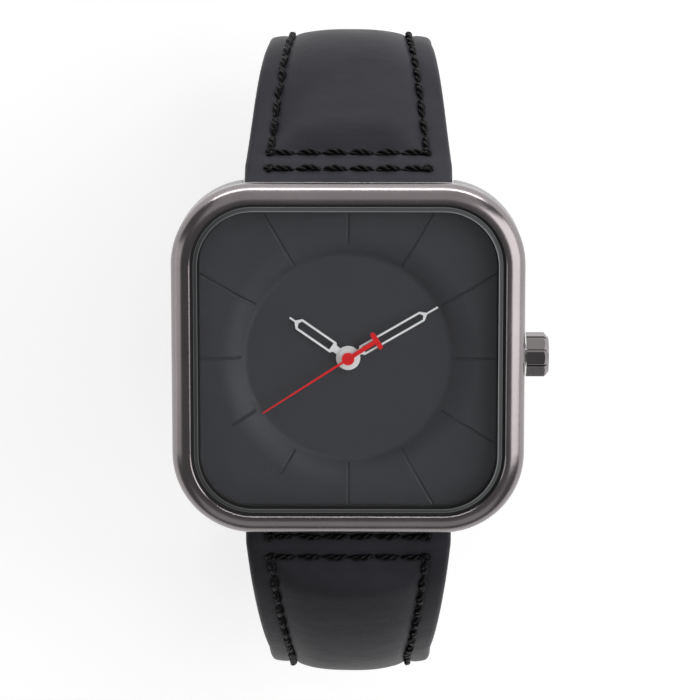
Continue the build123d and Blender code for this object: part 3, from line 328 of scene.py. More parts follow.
def winding_material():
    """Copper wire laid turn beside turn."""
    m = Nodes("copper_winding")
    wave = m.add("ShaderNodeTexWave", bands_direction="X")
    m.link(m.place, wave.inputs["Vector"])
    wave.inputs["Scale"].default_value = 1 / (0.3 * MM)
    cloud = m.noise(0.8)
    m.set(Base_Color=m.mix(m.ramp(cloud, 0, 1), (0.45, 0.16, 0.06), (0.66, 0.28, 0.12)), Metallic=0.9,
          Roughness=0.32, Normal=m.bump(wave.outputs["Fac"], 0.04))
    return m.material


def board_material():
    """Dark green board with paler tracks between its fields."""
    m = Nodes("circuit_board")
    tracks = m.cells(1.1, "DISTANCE_TO_EDGE")
    fine = m.noise(0.2)
    m.set(Base_Color=m.mix(m.ramp(tracks, 0, 1, 0.02, 0.12), (0.05, 0.26, 0.12), (0.012, 0.08, 0.035)),
          Roughness=m.ramp(fine, 0.28, 0.45), Normal=m.bump(fine, 0.01))
    return m.material


CROWN_DARK = (0.25, 0.23, 0.235)
CROWN_LIGHT = (0.31, 0.288, 0.29)
MATERIALS = {
    "case_steel": metal("gunmetal_satin", (0.17, 0.16, 0.165), (0.23, 0.215, 0.215), 0.24, 0.34),
    "bezel_steel": metal("gunmetal_polish", (0.25, 0.225, 0.23), (0.29, 0.262, 0.267), 0.2, 0.26),
    "crown_steel": metal("gunmetal_crown", CROWN_DARK, CROWN_LIGHT, 0.09, 0.14),
    "buckle_steel": metal("gunmetal_buckle", CROWN_DARK, CROWN_LIGHT, 0.16, 0.24),
    "steel_small": metal("plain_steel", (0.5, 0.5, 0.51), (0.62, 0.62, 0.62), 0.22, 0.34),
    "bridge_steel": metal("plated_sheet", (0.56, 0.55, 0.52), (0.66, 0.65, 0.62), 0.26, 0.38),
    "battery_steel": metal("nickel_can", (0.62, 0.62, 0.6), (0.74, 0.74, 0.71), 0.18, 0.3),
    "core_iron": metal("soft_iron", (0.36, 0.36, 0.37), (0.46, 0.46, 0.47), 0.34, 0.5),
    "rotor_magnet": metal("sintered_magnet", (0.2, 0.2, 0.2), (0.28, 0.27, 0.27), 0.45, 0.6, 0.01),
    "wheel_brass": metal("stamped_brass", (0.66, 0.48, 0.2), (0.78, 0.6, 0.28), 0.22, 0.34),
    "coil_copper": winding_material(),
    "crystal_glass": crystal_material(),
    "dial_paint": dial_material(),
    "hand_silver": hand_material(),
    "second_red": red_material(),
    "gasket_rubber": plastic("sealing_rubber", (0.008, 0.008, 0.008), (0.014, 0.014, 0.014),
                             0.5, 0.65),
    "wheel_plastic": plastic("moulded_wheel", (0.7, 0.67, 0.6), (0.8, 0.78, 0.72), 0.35, 0.5),
    "plate_plastic": plastic("main_plate_moulding", (0.03, 0.03, 0.034), (0.05, 0.05, 0.055),
                             0.45, 0.6),
    "holder_plastic": plastic("holder_moulding", (0.6, 0.6, 0.57), (0.7, 0.7, 0.67), 0.4, 0.55),
    "board_green": board_material(),
    "strap_leather": leather("black_leather", (0.028, 0.028, 0.033), (0.0395, 0.0395, 0.0465),
                             0.36, 0.46),
    "lining_leather": leather("lining_leather", (0.02, 0.018, 0.017), (0.034, 0.03, 0.028),
                              0.62, 0.78, 0.03),
    "padding_felt": felt_material(),
    "thread_black": thread_material(),
}


def dress_nodes():
    """Give every CAD node the finish of its slot."""
    for row in frame["record"]["subparts"]:
        node = nodes[row["node"]]
        node.data.materials.clear()
        node.data.materials.append(MATERIALS[row["material_slot"]])


# Strap routes, as in the model: bends and straights along the outer face

def arc(radius, turn):
    """A bend as its length and its turn in degrees."""
    return abs(radius * math.radians(turn)), turn


WRAP = arc(LOOP_RADIUS, 165.0)


class Route:
    """The outer face of a strap half. Lengths below zero run back round the spring bar."""

    def __init__(self, side, exit_angle, runs, end_wrap=False):
        self.side = side
        self.length = sum(length for length, turn in runs)
        self.runs = [WRAP] + runs + ([WRAP] if end_wrap else [])
        self.exit = math.radians(exit_angle - WRAP[1])
        self.start = (BAR_OFFSET + LOOP_RADIUS * math.sin(self.exit),
                      BAR_HEIGHT + LOOP_RADIUS * math.cos(self.exit))
        self.low = -WRAP[0]
        self.high = self.length + (WRAP[0] if end_wrap else 0)

    def at(self, distance):
        """Place and heading on the outer face, in millimetres and radians."""
        y, z = self.start
        angle = self.exit
        left = distance - self.low
        for length, turn in self.runs:
            part = min(left, length)
            bend = math.radians(turn) * part / length
            if abs(bend) > 0:
                radius = part / bend
                y += radius * (math.sin(angle + bend) - math.sin(angle))
                z += radius * (math.cos(angle + bend) - math.cos(angle))
            else:
                y += part * math.cos(angle)
                z -= part * math.sin(angle)
            angle += bend
            left -= part
            if left <= 0:
                break
        return y, z, angle

    def point(self, distance, x, rise):
        """A point at a length, a place across and a height over the face, in metres."""
        y, z, angle = self.at(distance)
        y += rise * math.sin(angle)
        z += rise * math.cos(angle)
        return Vector((x * MM, self.side * y * MM, z * MM))


UPPER_SIDE = 3.2923
UPPER_LEVEL = 26.114
UPPER = Route(1, 58.0, [arc(80.0, -10.0), arc(27.0, 51.0), (UPPER_SIDE, 0), arc(10.0, 81.0),
                        (UPPER_LEVEL, 0)], end_wrap=True)
LOWER = Route(-1, 9.5, [arc(20.0, 32.5), arc(52.0, 35.5), arc(14.0, 137.5), (6.0, 0),
                        arc(20.0, -33.0), (16.0, 0)])
UPPER_PAD = (17.0, 54.0)
LOWER_PAD = (29.0, 60.0)


def clamp(value):
    return min(1.0, max(0.0, value))


def ease(value):
    """A smooth step from 0 to 1."""
    value = clamp(value)
    return value * value * (3 - 2 * value)


TIP_ROUNDNESS = 2.2
TIP_END_SHARE = 0.25


def strap_width(route, distance):
    """Width at a length: a taper from the case on, and the lower half's rounded tip."""
    width = max(STRAP_NARROW, STRAP_WIDTH - TAPER_SHARE * max(0, distance - TAPER_START))
    if route is LOWER:
        past = clamp((distance - (route.length - TIP_LENGTH)) / TIP_LENGTH)
        round_off = math.sqrt(max(0, 1 - past ** TIP_ROUNDNESS))
        share = TIP_END_SHARE + (1 - TIP_END_SHARE) * round_off
        width = 2 * PAD_MARGIN + (width - 2 * PAD_MARGIN) * share
    return width


PAD_RISE_POWER = 0.8
PAD_FALL_POWER = 2
PAD_CROWN_POWER = 2.8
PAD_SEAM_POWER = 0.88


def pad_height(distance, fade):
    """The pad's height in its middle: a quick rise near the case and a slow fall over fade."""
    rise = clamp((distance - PAD_START) / PAD_RISE)
    fall = clamp((fade[1] - distance) / (fade[1] - fade[0]))
    return PAD_HEIGHT * min(math.sin(rise * math.pi / 2) ** PAD_RISE_POWER,
                            math.sin(fall * math.pi / 2) ** PAD_FALL_POWER)


def pad_profile(share):
    """Share of the pad's height, from its middle at 0 to its seam at 1."""
    return (1 - share ** PAD_CROWN_POWER) ** PAD_SEAM_POWER


def valley(value, width):
    """A smooth bell: 1 at a value of 0, gone at about twice the width."""
    return math.exp(-(value / width) ** 2)


EDGE_ROW = 2.85
BOUNDARY_ROW = 5.7
SEAM_STEP = 0.3
SEAM_FADE = 0.6
ROW_WIDTH = 0.55
ROW_DEPTH = 0.16
ROW_START = 1.0
ROW_FADE = 4.0
RIDGE_WIDTH = 0.8
RIDGE_HEIGHT = 0.10
WAVE_ACROSS = 0.35
WAVE_ALONG = 0.3
WAVE_APART = 3.0
WAVE_HEIGHT = 0.03
RIPPLE_SCALE = 3.1
RIPPLE_HEIGHT = 0.012
EDGE_RADIUS = 0.6
EDGE_FALL = 0.4


def rounded_edge(past):
    """How far a rounded edge lies below its face, at a place past the start of the rounding."""
    return EDGE_RADIUS - math.sqrt(max(0, EDGE_RADIUS ** 2 - past ** 2)) if past > 0 else 0.0


def cover_rise(route, distance, x, fade):
    """Height of the cover's outer face over the route at one place."""
    half = strap_width(route, distance) / 2
    pad = half - PAD_MARGIN
    across = abs(x)
    rise = 0.0
    if across < pad:
        rise += pad_height(distance, fade) * pad_profile(across / pad)
    seam = pad + SEAM_STEP
    along = ease((distance - BOUNDARY_ROW) / ROW_START) * ease((fade[1] - distance) / ROW_FADE)
    rise -= ROW_DEPTH * valley(across - seam, ROW_WIDTH) * along
    inside = ease((seam + SEAM_FADE - across) / SEAM_FADE)
    rise -= ROW_DEPTH * valley(distance - BOUNDARY_ROW, ROW_WIDTH) * inside
    rise -= ROW_DEPTH * valley(distance - EDGE_ROW, ROW_WIDTH) * inside
    rise += RIDGE_HEIGHT * valley(distance - (EDGE_ROW + BOUNDARY_ROW) / 2, RIDGE_WIDTH)
    rise -= EDGE_FALL * clamp((across - seam) / (half - seam)) ** 3
    place = Vector((x * WAVE_ACROSS, distance * WAVE_ALONG, route.side * WAVE_APART))
    rise += WAVE_HEIGHT * noise.noise(place) + RIPPLE_HEIGHT * noise.noise(place * RIPPLE_SCALE)
    rise -= rounded_edge(across - (half - EDGE_RADIUS))
    return rise


def steps(low, high, count):
    """Evenly spaced numbers from low to high."""
    return [low + (high - low) * index / (count - 1) for index in range(count)]


def quarter_sines(count):
    """Sines of evenly spaced angles after 0 up to a quarter turn, closer together near 1."""
    return [math.sin(math.pi / 2 * index / count) for index in range(1, count + 1)]


PAD_COLUMNS = 14
MARGIN_COLUMNS = 12
EDGE_COLUMNS = 5


def columns(half, pad):
    """Places across the strap, closer together at the edges and at the seams."""
    flat_edge = half - EDGE_RADIUS
    inner = [pad * share for share in quarter_sines(PAD_COLUMNS)]
    margin = steps(pad, flat_edge, MARGIN_COLUMNS)[1:]
    rounded = [flat_edge + EDGE_RADIUS * share for share in quarter_sines(EDGE_COLUMNS)]
    right = inner + margin + rounded
    return [-x for x in reversed(right)] + [0.0] + right


def ring_faces(start, following, count):
    """Quads between two rings of count points that begin at start and at following."""
    afters = [(column + 1) % count for column in range(count)]
    return [(start + column, start + after, following + after, following + column)
            for column, after in enumerate(afters)]


def closed_strip(name, rings, body, slot):
    """A closed mesh through rings of equal length, capped at both ends."""
    count = len(rings[0])
    points = [point for ring in rings for point in ring]
    faces = []
    for row in range(len(rings) - 1):
        faces += ring_faces(row * count, (row + 1) * count, count)
    last = (len(rings) - 1) * count
    for column in range(count // 2 - 1):
        facing = count - 1 - column
        faces.append((facing, facing - 1, column + 1, column))
        faces.append((last + column, last + column + 1, last + facing - 1, last + facing))
    return mesh_piece(name, points, faces, body, slot)


def mesh_piece(name, points, faces, body, slot):
    """A smooth piece of the slot's material that rides on a body."""
    mesh = bpy.data.meshes.new(name)
    mesh.from_pydata([tuple(point) for point in points], [], faces)
    mesh.validate()
    mesh.update()
    piece = bpy.data.objects.new(name, mesh)
    scene.collection.objects.link(piece)
    fix_normals(mesh)
    mesh.polygons.foreach_set("use_smooth", [True] * len(mesh.polygons))
    mesh.materials.append(MATERIALS[slot])
    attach(piece, body)
    return piece


def fix_normals(mesh):
    """Turn every face's normal outwards."""
    work = bmesh.new()
    work.from_mesh(mesh)
    bmesh.ops.recalc_face_normals(work, faces=work.faces)
    work.to_mesh(mesh)
    work.free()


PARING_START = 0.5
PARING_LENGTH = 3.0


def cover_thickness(distance, route):
    """The cover is pared where it wraps the bars."""
    share = ease((distance + PARING_START) / PARING_LENGTH)
    if route is UPPER:
        share = min(share, ease((route.length - distance + PARING_START) / PARING_LENGTH))
    return LOOP_WALL + (COVER_THICKNESS - LOOP_WALL) * share


STATION = 0.55


def station_list(low, high, spacing=STATION):
    """Lengths about spacing apart, both ends included."""
    return steps(low, high, max(2, int(round((high - low) / spacing)) + 1))


INNER_INSET = 0.004


def make_cover(route, fade, name, body):
    """The outer leather: dents and rounded edges outside, the pad's hollow inside."""
    rings = []
    for distance in station_list(route.low, route.high):
        half = strap_width(route, distance) / 2
        pad = half - PAD_MARGIN
        places = columns(half, pad)
        outer = [route.point(distance, x, cover_rise(route, distance, x, fade)) for x in places]
        thickness = cover_thickness(distance, route)
        inner = []
        for x in reversed(places):
            rise = -thickness
            if abs(x) < pad:
                rise += pad_height(distance, fade) * pad_profile(abs(x) / pad)
            inner.append(route.point(distance, x * (1 - INNER_INSET), rise))
        rings.append(outer + inner)
    return closed_strip(name, rings, body, "strap_leather")


LINING_GAP = 0.015
LINING_INSET = 0.12
LINING_WAVE_SCALE = 0.4
LINING_WAVE_HEIGHT = 0.02
LINING_WAVE_PLACE = 9.0


def make_lining(route, name, body):
    """The inner leather, thicker near the case, where the cover's end is turned back."""
    rings = []
    high = route.length - (LINING_START if route is UPPER else LINING_INSET)
    top = -COVER_THICKNESS - LINING_GAP
    for distance in station_list(LINING_START, high):
        half = strap_width(route, distance) / 2 - LINING_INSET
        places = columns(half, half - PAD_MARGIN)
        thickness = LINING_THICKNESS + FLAP_EXTRA * clamp(1 - distance / FLAP_LENGTH)
        upper = [route.point(distance, x, top) for x in places]
        lower = []
        for x in reversed(places):
            place = Vector((x * LINING_WAVE_SCALE, distance * LINING_WAVE_SCALE, LINING_WAVE_PLACE))
            rise = top - thickness + rounded_edge(abs(x) - (half - EDGE_RADIUS))
            rise -= LINING_WAVE_HEIGHT * noise.noise(place)
            lower.append(route.point(distance, x, rise))
        rings.append(upper + lower)
    return closed_strip(name, rings, body, "lining_leather")


FILLING_COLUMNS = 12
FILLING_STATION = 1.1
FILLING_START = 0.4
FILLING_END = 0.8
FILLING_SIDE_GAP = 0.05
FILLING_FLOOR_GAP = 0.005
FILLING_TOP_GAP = 0.03
FILLING_LEAST = 0.02
FILLING_EDGE = 0.004


def make_filling(route, fade, name, body):
    """The felt under the pad: flat below, with the pad's profile above."""
    rings = []
    floor = -COVER_THICKNESS + FILLING_FLOOR_GAP
    for distance in station_list(PAD_START + FILLING_START, fade[1] - FILLING_END, FILLING_STATION):
        pad = strap_width(route, distance) / 2 - PAD_MARGIN - FILLING_SIDE_GAP
        right = [pad * share for share in quarter_sines(FILLING_COLUMNS)]
        places = [-x for x in reversed(right)] + [0.0] + right
        height = max(FILLING_LEAST, pad_height(distance, fade) - FILLING_TOP_GAP)
        upper = [route.point(distance, x, floor + FILLING_EDGE + height * pad_profile(abs(x) / pad))
                 for x in places]
        lower = [route.point(distance, x, floor) for x in reversed(places)]
        rings.append(upper + lower)
    return closed_strip(name, rings, body, "padding_felt")


def cut(piece, cutters):
    """Cut shapes out of a piece and apply the cuts."""
    for cutter in cutters:
        modifier = piece.modifiers.new("cut", "BOOLEAN")
        modifier.operation = "DIFFERENCE"
        modifier.object = cutter
        modifier.solver = "EXACT"
    evaluated = piece.evaluated_get(bpy.context.evaluated_depsgraph_get())
    mesh = bpy.data.meshes.new_from_object(evaluated)
    piece.modifiers.clear()
    piece.data = mesh
    for cutter in cutters:
        bpy.data.objects.remove(cutter)


def bare_object(name, points, faces):
    """An object for cutting with, which has no material and rides on nothing."""
    mesh = bpy.data.meshes.new(name)
    mesh.from_pydata([tuple(point) for point in points], [], faces)
    fix_normals(mesh)
    item = bpy.data.objects.new(name, mesh)
    scene.collection.objects.link(item)
    return item


HOLE_SIDES = 28
HOLE_CUT_TOP = 2.0
HOLE_CUT_BOTTOM = -5.0
SLOT_CUT_PAST = 1.0
SLOT_CUT_HALF = 3.2


def hole_cutter(route, distance):
    """A round cutter square to the strap's face."""
    centre_y, centre_z, heading = route.at(distance)
    points = []
    for rise in (HOLE_CUT_TOP, HOLE_CUT_BOTTOM):
        for index in range(HOLE_SIDES):
            angle = 2 * math.pi * index / HOLE_SIDES
            along = HOLE_RADIUS * math.sin(angle)
            y = centre_y + (rise * math.sin(heading) + along * math.cos(heading))
            z = centre_z + (rise * math.cos(heading) - along * math.sin(heading))
            points.append(Vector((HOLE_RADIUS * math.cos(angle) * MM, route.side * y * MM, z * MM)))
    faces = ring_faces(0, HOLE_SIDES, HOLE_SIDES)
    faces += [tuple(range(HOLE_SIDES)), tuple(range(2 * HOLE_SIDES - 1, HOLE_SIDES - 1, -1))]
    return bare_object("hole_cutter", points, faces)


def slot_cutter(route):
    """A box that opens the strap's end for the tongue."""
    y, z, heading = route.at(route.length)
    y -= LOOP_RADIUS * math.sin(heading)
    z -= LOOP_RADIUS * math.cos(heading)
    half = TONGUE_SLOT / 2
    low, high = y - LOOP_RADIUS - SLOT_CUT_PAST, y + TONGUE_SLOT_LENGTH
    points = [Vector((x * MM, side * MM, level * MM)) for x in (-half, half) for side in (low, high)
              for level in (z - SLOT_CUT_HALF, z + SLOT_CUT_HALF)]
    faces = [(0, 1, 3, 2), (4, 6, 7, 5), (0, 4, 5, 1), (2, 3, 7, 6), (0, 2, 6, 4), (1, 5, 7, 3)]
    return bare_object("slot_cutter", points, faces)


# Stitching: every stitch is two strands twisted round a sagging path

STITCH_PITCH = 2.95
STITCH_STEPS = 18
STITCH_TURNS = 1.6
STITCH_DIVE = 0.42
STITCH_LIFT = 0.2
STITCH_SLACK = 0.14
STITCH_FULLNESS = 0.55
STITCH_LEAN = 0.5
STITCH_PHASE = 9.0
STITCH_WANDER = 0.12
SLACK_SEED = 40
PHASE_SEED = 7
WANDER_SEEDS = 3
SIDE_ROW_END = 3.0
THREAD_RADIUS = 0.21
STRAND_OFFSET = 0.17
STRAND_THIN = 0.85
STRAND_SWELL = 0.25
STRAND_SIDES = 8
STRAND_UP = Vector((0.31, 0.17, 0.93))
KNOT_STEPS = 44
KNOT_TURNS = 2
KNOT_WAVES = 1.5
KNOT_REACH = 0.34
KNOT_SPREAD = 0.45
KNOT_LEVEL = 0.22
KNOT_HEIGHT = 0.2
KNOT_THREAD = 0.95


def tube_along(path, radii, points, faces):
    """Add a capped tube along a path of points, in metres."""
    start = len(points)
    count = len(path)
    for index in range(count):
        before = path[max(0, index - 1)]
        after = path[min(count - 1, index + 1)]
        heading = (after - before).normalized()
        side = heading.cross(STRAND_UP).normalized()
        top = side.cross(heading)
        for corner in range(STRAND_SIDES):
            angle = 2 * math.pi * corner / STRAND_SIDES
            outward = math.cos(angle) * side + math.sin(angle) * top
            points.append(path[index] + radii[index] * outward)
    for index in range(count - 1):
        row = start + index * STRAND_SIDES
        faces += ring_faces(row, row + STRAND_SIDES, STRAND_SIDES)
    last = start + (count - 1) * STRAND_SIDES
    faces.append(tuple(start + corner for corner in reversed(range(STRAND_SIDES))))
    faces.append(tuple(last + corner for corner in range(STRAND_SIDES)))


def wobble(seed, scale=1.0):
    """A number between about -scale and scale that depends on the seed alone."""
    return scale * noise.noise(Vector((seed * 1.37 + 0.4, seed * 0.71, 5.3)))


def stitch(place, seed, points, faces):
    """One stitch. place(share, aside, rise) gives points from hole to hole, share from 0 to 1."""
    slack = STITCH_SLACK * (1 + wobble(seed + SLACK_SEED))
    lean = wobble(seed, STITCH_LEAN)
    phase = wobble(seed + PHASE_SEED, STITCH_PHASE)
    path = []
    for index in range(STITCH_STEPS + 1):
        share = index / STITCH_STEPS
        bow = math.sin(math.pi * share)
        rise = -STITCH_DIVE + (STITCH_LIFT + STITCH_DIVE + slack) * bow ** STITCH_FULLNESS
        wander = wobble(seed + WANDER_SEEDS * share, STITCH_WANDER)
        aside = lean * (share - 0.5) + wander * bow
        path.append((share, aside, rise))
    for strand in (0, math.pi):
        line = []
        radii = []
        for share, aside, rise in path:
            angle = phase + strand + 2 * math.pi * STITCH_TURNS * share
            swell = STRAND_THIN + STRAND_SWELL * math.sin(math.pi * share)
            line.append(place(share, aside + STRAND_OFFSET * swell * math.cos(angle),
                              rise + STRAND_OFFSET * swell * math.sin(angle)))
            radii.append(THREAD_RADIUS * swell * MM)
        tube_along(line, radii, points, faces)


def knot(place, seed, points, faces):
    """A small tied knot where a row ends. place(x, along, rise) gives points near its middle."""
    line = []
    for index in range(KNOT_STEPS + 1):
        angle = 2 * KNOT_TURNS * math.pi * index / KNOT_STEPS
        reach = KNOT_REACH * (1.0 + KNOT_SPREAD * math.cos(KNOT_WAVES * angle))
        rise = KNOT_LEVEL + KNOT_HEIGHT * math.sin(KNOT_WAVES * angle)
        line.append(place(reach * math.cos(angle + seed), reach * math.sin(angle + seed), rise))
    tube_along(line, [THREAD_RADIUS * KNOT_THREAD * MM] * (KNOT_STEPS + 1), points, faces)


def make_thread(route, fade, name, body):
    """All stitches of a strap half: two rows across near the case and one row down each side."""
    points = []
    faces = []
    seeds = itertools.count(10.0 * (route.side + 2))

    def across_row(distance):
        half = strap_width(route, distance) / 2 - PAD_MARGIN + SEAM_STEP
        count = max(1, int(round(2 * half / STITCH_PITCH)))
        width = 2 * half / count
        for index in range(count):
            left = -half + index * width

            def place(share, aside, rise):
                x = left + share * width
                base = cover_rise(route, distance, x, fade)
                return route.point(distance + aside, x, base + rise)

            stitch(place, next(seeds), points, faces)
        for end in (-half, half):

            def spot(x, along, rise):
                base = cover_rise(route, distance, end, fade)
                return route.point(distance + along, end + x, base + rise)

            knot(spot, next(seeds), points, faces)

    def side_row(side):
        reach = fade[1] - SIDE_ROW_END - BOUNDARY_ROW
        count = int(round(reach / STITCH_PITCH))
        length = reach / count
        for index in range(count):
            low = BOUNDARY_ROW + index * length

            def place(share, aside, rise):
                distance = low + share * length
                x = side * (strap_width(route, distance) / 2 - PAD_MARGIN + SEAM_STEP) + aside
                return route.point(distance, x, cover_rise(route, distance, x, fade) + rise)

            stitch(place, next(seeds), points, faces)

    across_row(EDGE_ROW)
    across_row(BOUNDARY_ROW)
    side_row(-1)
    side_row(1)
    return mesh_piece(name, points, faces, body, "thread_black")


# Keepers: leather bands with rounded edges

KEEPER_CORNER = 1.5 * KEEPER_THICKNESS
KEEPER_CORNER_STEPS = 10
KEEPER_STATION = 0.9
KEEPER_EDGE = 0.32
KEEPER_EDGE_STEPS = 5
KEEPER_FACE_COLUMNS = 11
KEEPER_BOW = 0.06
KEEPER_BOW_SCALE = (0.3, 0.5, 0.3)
KEEPER_GROOVE_INSET = 0.8
KEEPER_GROOVE_DEPTH = 0.07
KEEPER_GROOVE_WIDTH = 0.16


def keeper_loop(half_x, half_z):
    """Places and outward directions round a keeper's outer face: x, z, direction x, direction z."""
    corners = []
    for quarter, (sx, sz) in enumerate(((1, 1), (-1, 1), (-1, -1), (1, -1))):
        for index in range(KEEPER_CORNER_STEPS + 1):
            angle = math.pi / 2 * (quarter + index / KEEPER_CORNER_STEPS)
            corners.append(((half_x - KEEPER_CORNER) * sx + KEEPER_CORNER * math.cos(angle),
                            (half_z - KEEPER_CORNER) * sz + KEEPER_CORNER * math.sin(angle),
                            math.cos(angle), math.sin(angle)))
    loop = []
    for index, point in enumerate(corners):
        after = corners[(index + 1) % len(corners)]
        gap = math.hypot(after[0] - point[0], after[1] - point[1])
        parts = max(1, int(gap / KEEPER_STATION))
        for part in range(parts):
            share = part / parts
            loop.append(tuple(a + (b - a) * share for a, b in zip(point, after)))
    return loop


def keeper_rounding(y, depth, quarter):
    """A rounded corner of a keeper's section round a centre, from a quarter turn backwards."""
    rounding = []
    for index in range(1, KEEPER_EDGE_STEPS + 1):
        angle = math.pi / 2 * (quarter - index / KEEPER_EDGE_STEPS)
        rounding.append((y + KEEPER_EDGE * math.cos(angle), depth + KEEPER_EDGE * math.sin(angle)))
    return rounding


def keeper_section(half_y):
    """A keeper's section: place along the strap and depth below the outer face."""
    flat = half_y - KEEPER_EDGE
    deep = KEEPER_THICKNESS - KEEPER_EDGE
    section = [(y, 0.0) for y in steps(flat, -flat, KEEPER_FACE_COLUMNS)]
    section += keeper_rounding(-flat, KEEPER_EDGE, 3)
    section.append((-half_y, deep))
    section += keeper_rounding(-flat, deep, 2)
    section += [(y, KEEPER_THICKNESS) for y in steps(-flat, flat, KEEPER_FACE_COLUMNS)[1:]]
    section += keeper_rounding(flat, deep, 1)
    section.append((half_y, KEEPER_EDGE))
    section += keeper_rounding(flat, KEEPER_EDGE, 0)[:-1]
    return section


def make_keeper(node, body):
    """A band that follows the CAD node's rounded box, with softened edges and a seam."""
    low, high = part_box(node)
    mid = (low + high) / 2 / MM
    half_x, half_y, half_z = [(end - start) / 2 / MM for start, end in zip(low, high)]
    loop = keeper_loop(half_x, half_z)
    section = keeper_section(half_y)
    groove_place = half_y - KEEPER_GROOVE_INSET
    points = []
    for x, z, nx, nz in loop:
        for y, depth in section:
            place = Vector([value * scale for value, scale in zip((x, y, z), KEEPER_BOW_SCALE)])
            inward = depth - KEEPER_BOW * noise.noise(place) * (1 - depth / KEEPER_THICKNESS)
            if depth < KEEPER_EDGE / 2:
                inward += KEEPER_GROOVE_DEPTH * valley(abs(y) - groove_place, KEEPER_GROOVE_WIDTH)
            points.append(Vector(((mid.x + x - nx * inward) * MM, (mid.y + y) * MM,
                                  (mid.z + z - nz * inward) * MM)))
    count = len(section)
    faces = []
    for row in range(len(loop)):
        following = (row + 1) % len(loop)
        faces += ring_faces(row * count, following * count, count)
    piece = mesh_piece(node + "_band", points, faces, body, "strap_leather")
    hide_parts(node)


def make_strap(route, fade, prefix):
    """A strap half: cover, lining, filling and thread in place of the CAD's four nodes."""
    cover = make_cover(route, fade, prefix + "_leather", prefix)
    lining = make_lining(route, prefix + "_inside", prefix)
    filling = make_filling(route, fade, prefix + "_filling", prefix)
    thread = make_thread(route, fade, prefix + "_thread", prefix)
    places = [route.length - HOLE_FROM_TIP - index * HOLE_SPACING for index in range(HOLE_COUNT)]
    for piece in (cover, lining):
        if route is UPPER:
            cut(piece, [slot_cutter(route)])
        else:
            cut(piece, [hole_cutter(route, place) for place in places])
    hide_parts(prefix + "_cover")
    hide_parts(prefix + "_lining")
    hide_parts(prefix + "_padding")
    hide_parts(prefix + "_stitching")


# Studio: floor, lamps and the camera of the photograph, in metres where no unit is named

FLOOR_HALF = 8.0
FLOOR_GAP = 0.009
FLOOR_GLOW = 0.68
WORLD_LEVEL = 0.15
PHOTO_SIZE = 700
PIXEL_MM = 0.11425
HUB_PIXEL = (347.9, 362.0)
TILT = 9.0
TURN = 0.5
DISTANCE_MM = 350.0
PLANE_MM = 8.9
SENSOR_MM = 36.0
CLIP_START = 0.01
CLIP_END = 5


def make_camera():
    """A camera straight over the watch, tilted and turned as the photograph shows."""
    data = bpy.data.cameras.new("photo_camera")
    camera = bpy.data.objects.new("photo_camera", data)
    scene.collection.objects.link(camera)
    width = PHOTO_SIZE * PIXEL_MM
    data.sensor_width = SENSOR_MM
    data.lens = SENSOR_MM * DISTANCE_MM / width
    data.clip_start = CLIP_START
    data.clip_end = CLIP_END
    tilt = math.radians(TILT)
    turn = math.radians(TURN)
    up = Vector((0, math.cos(tilt), -math.sin(tilt)))
    right = Vector((math.cos(turn), 0, -math.sin(turn)))
    back = right.cross(up).normalized()
    up = back.cross(right)
    middle = PHOTO_SIZE / 2
    aim = Vector((0, 0, PLANE_MM)) * MM
    aim += right * (middle - HUB_PIXEL[0]) * PIXEL_MM * MM
    aim -= up * (middle - HUB_PIXEL[1]) * PIXEL_MM * MM
    camera.location = aim + back * DISTANCE_MM * MM
    camera.rotation_mode = "QUATERNION"
    camera.rotation_quaternion = Matrix((right, up, back)).transposed().to_quaternion()
    scene.camera = camera


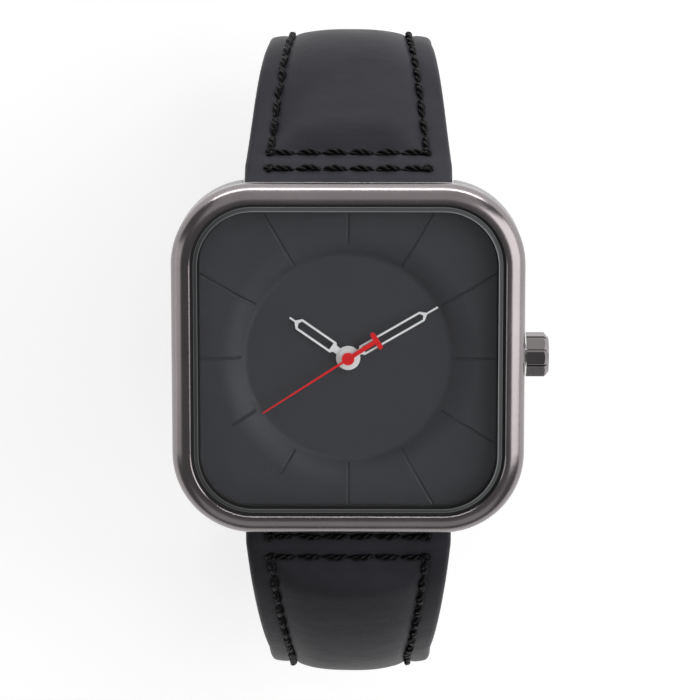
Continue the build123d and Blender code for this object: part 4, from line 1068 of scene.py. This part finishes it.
def backdrop_material():
    """A pale floor that the camera, metal and glass see as white, with the shadow left on it."""
    m = Nodes("pale_floor")
    cloud = m.noise(60.0)
    m.set(Base_Color=m.mix(m.ramp(cloud, 0, 1), (0.5, 0.5, 0.5), (0.53, 0.53, 0.53)), Roughness=0.9)
    glow = m.add("ShaderNodeEmission")
    path = m.add("ShaderNodeLightPath")
    seen = m.math("MAXIMUM", path.outputs["Is Camera Ray"],
                  m.math("MAXIMUM", path.outputs["Is Glossy Ray"], path.outputs["Is Transmission Ray"]))
    m.link(m.math("MULTIPLY", seen, FLOOR_GLOW), glow.inputs["Strength"])
    both = m.add("ShaderNodeAddShader")
    m.link(m.shader.outputs[0], both.inputs[0])
    m.link(glow.outputs[0], both.inputs[1])
    m.link(both.outputs[0], m.output.inputs["Surface"])
    return m.material


def make_floor():
    """A floor that stays below the buckle when the straps swing out."""
    low = cad_low.z - FLOOR_GAP
    points = [(x * FLOOR_HALF, y * FLOOR_HALF, low) for x, y in ((-1, -1), (1, -1), (1, 1), (-1, 1))]
    mesh = bpy.data.meshes.new("studio_floor")
    mesh.from_pydata(points, [], [(0, 1, 2, 3)])
    floor = bpy.data.objects.new("studio_floor", mesh)
    scene.collection.objects.link(floor)
    mesh.materials.append(backdrop_material())


def make_lamp(name, place, size, power, size_y=None):
    """An area lamp that faces the middle of the scene. Sizes in metres, power in watts."""
    data = bpy.data.lights.new(name, "AREA")
    data.shape = "RECTANGLE"
    data.size = size
    data.size_y = size_y or size
    data.energy = power
    lamp = bpy.data.objects.new(name, data)
    scene.collection.objects.link(lamp)
    lamp.location = Vector(place)
    lamp.rotation_mode = "QUATERNION"
    lamp.rotation_quaternion = (-Vector(place)).to_track_quat("-Z", "Y")


def make_world():
    """A plain white surround at a low level."""
    world = bpy.data.worlds.new("studio")
    scene.world = world
    world.use_nodes = True
    tree = world.node_tree
    background = tree.nodes["Background"]
    background.inputs["Color"].default_value = (1, 1, 1, 1)
    background.inputs["Strength"].default_value = WORLD_LEVEL


dress_nodes()
make_strap(UPPER, UPPER_PAD, "strap_12")
make_strap(LOWER, LOWER_PAD, "strap_6")
make_keeper("fixed_keeper", "strap_12")
make_keeper("free_keeper", "free_keeper")
make_floor()
make_world()
make_lamp("right_softbox", (0.58, 0.1, 0.39), 0.6, 3.8, 0.8)
make_lamp("left_softbox", (-0.7, 0.0, 0.12), 0.3, 0.75, 0.8)
make_lamp("top_softbox", (0.0, 0.55, 0.55), 1.0, 1.6)
make_lamp("front_softbox", (0.0, -0.6, 0.5), 1.0, 0.65, 0.5)
make_lamp("rear_strip", (0.0, 0.7, 0.03), 1.0, 3.4, 0.08)
make_camera()

scene.view_settings.view_transform = "Standard"
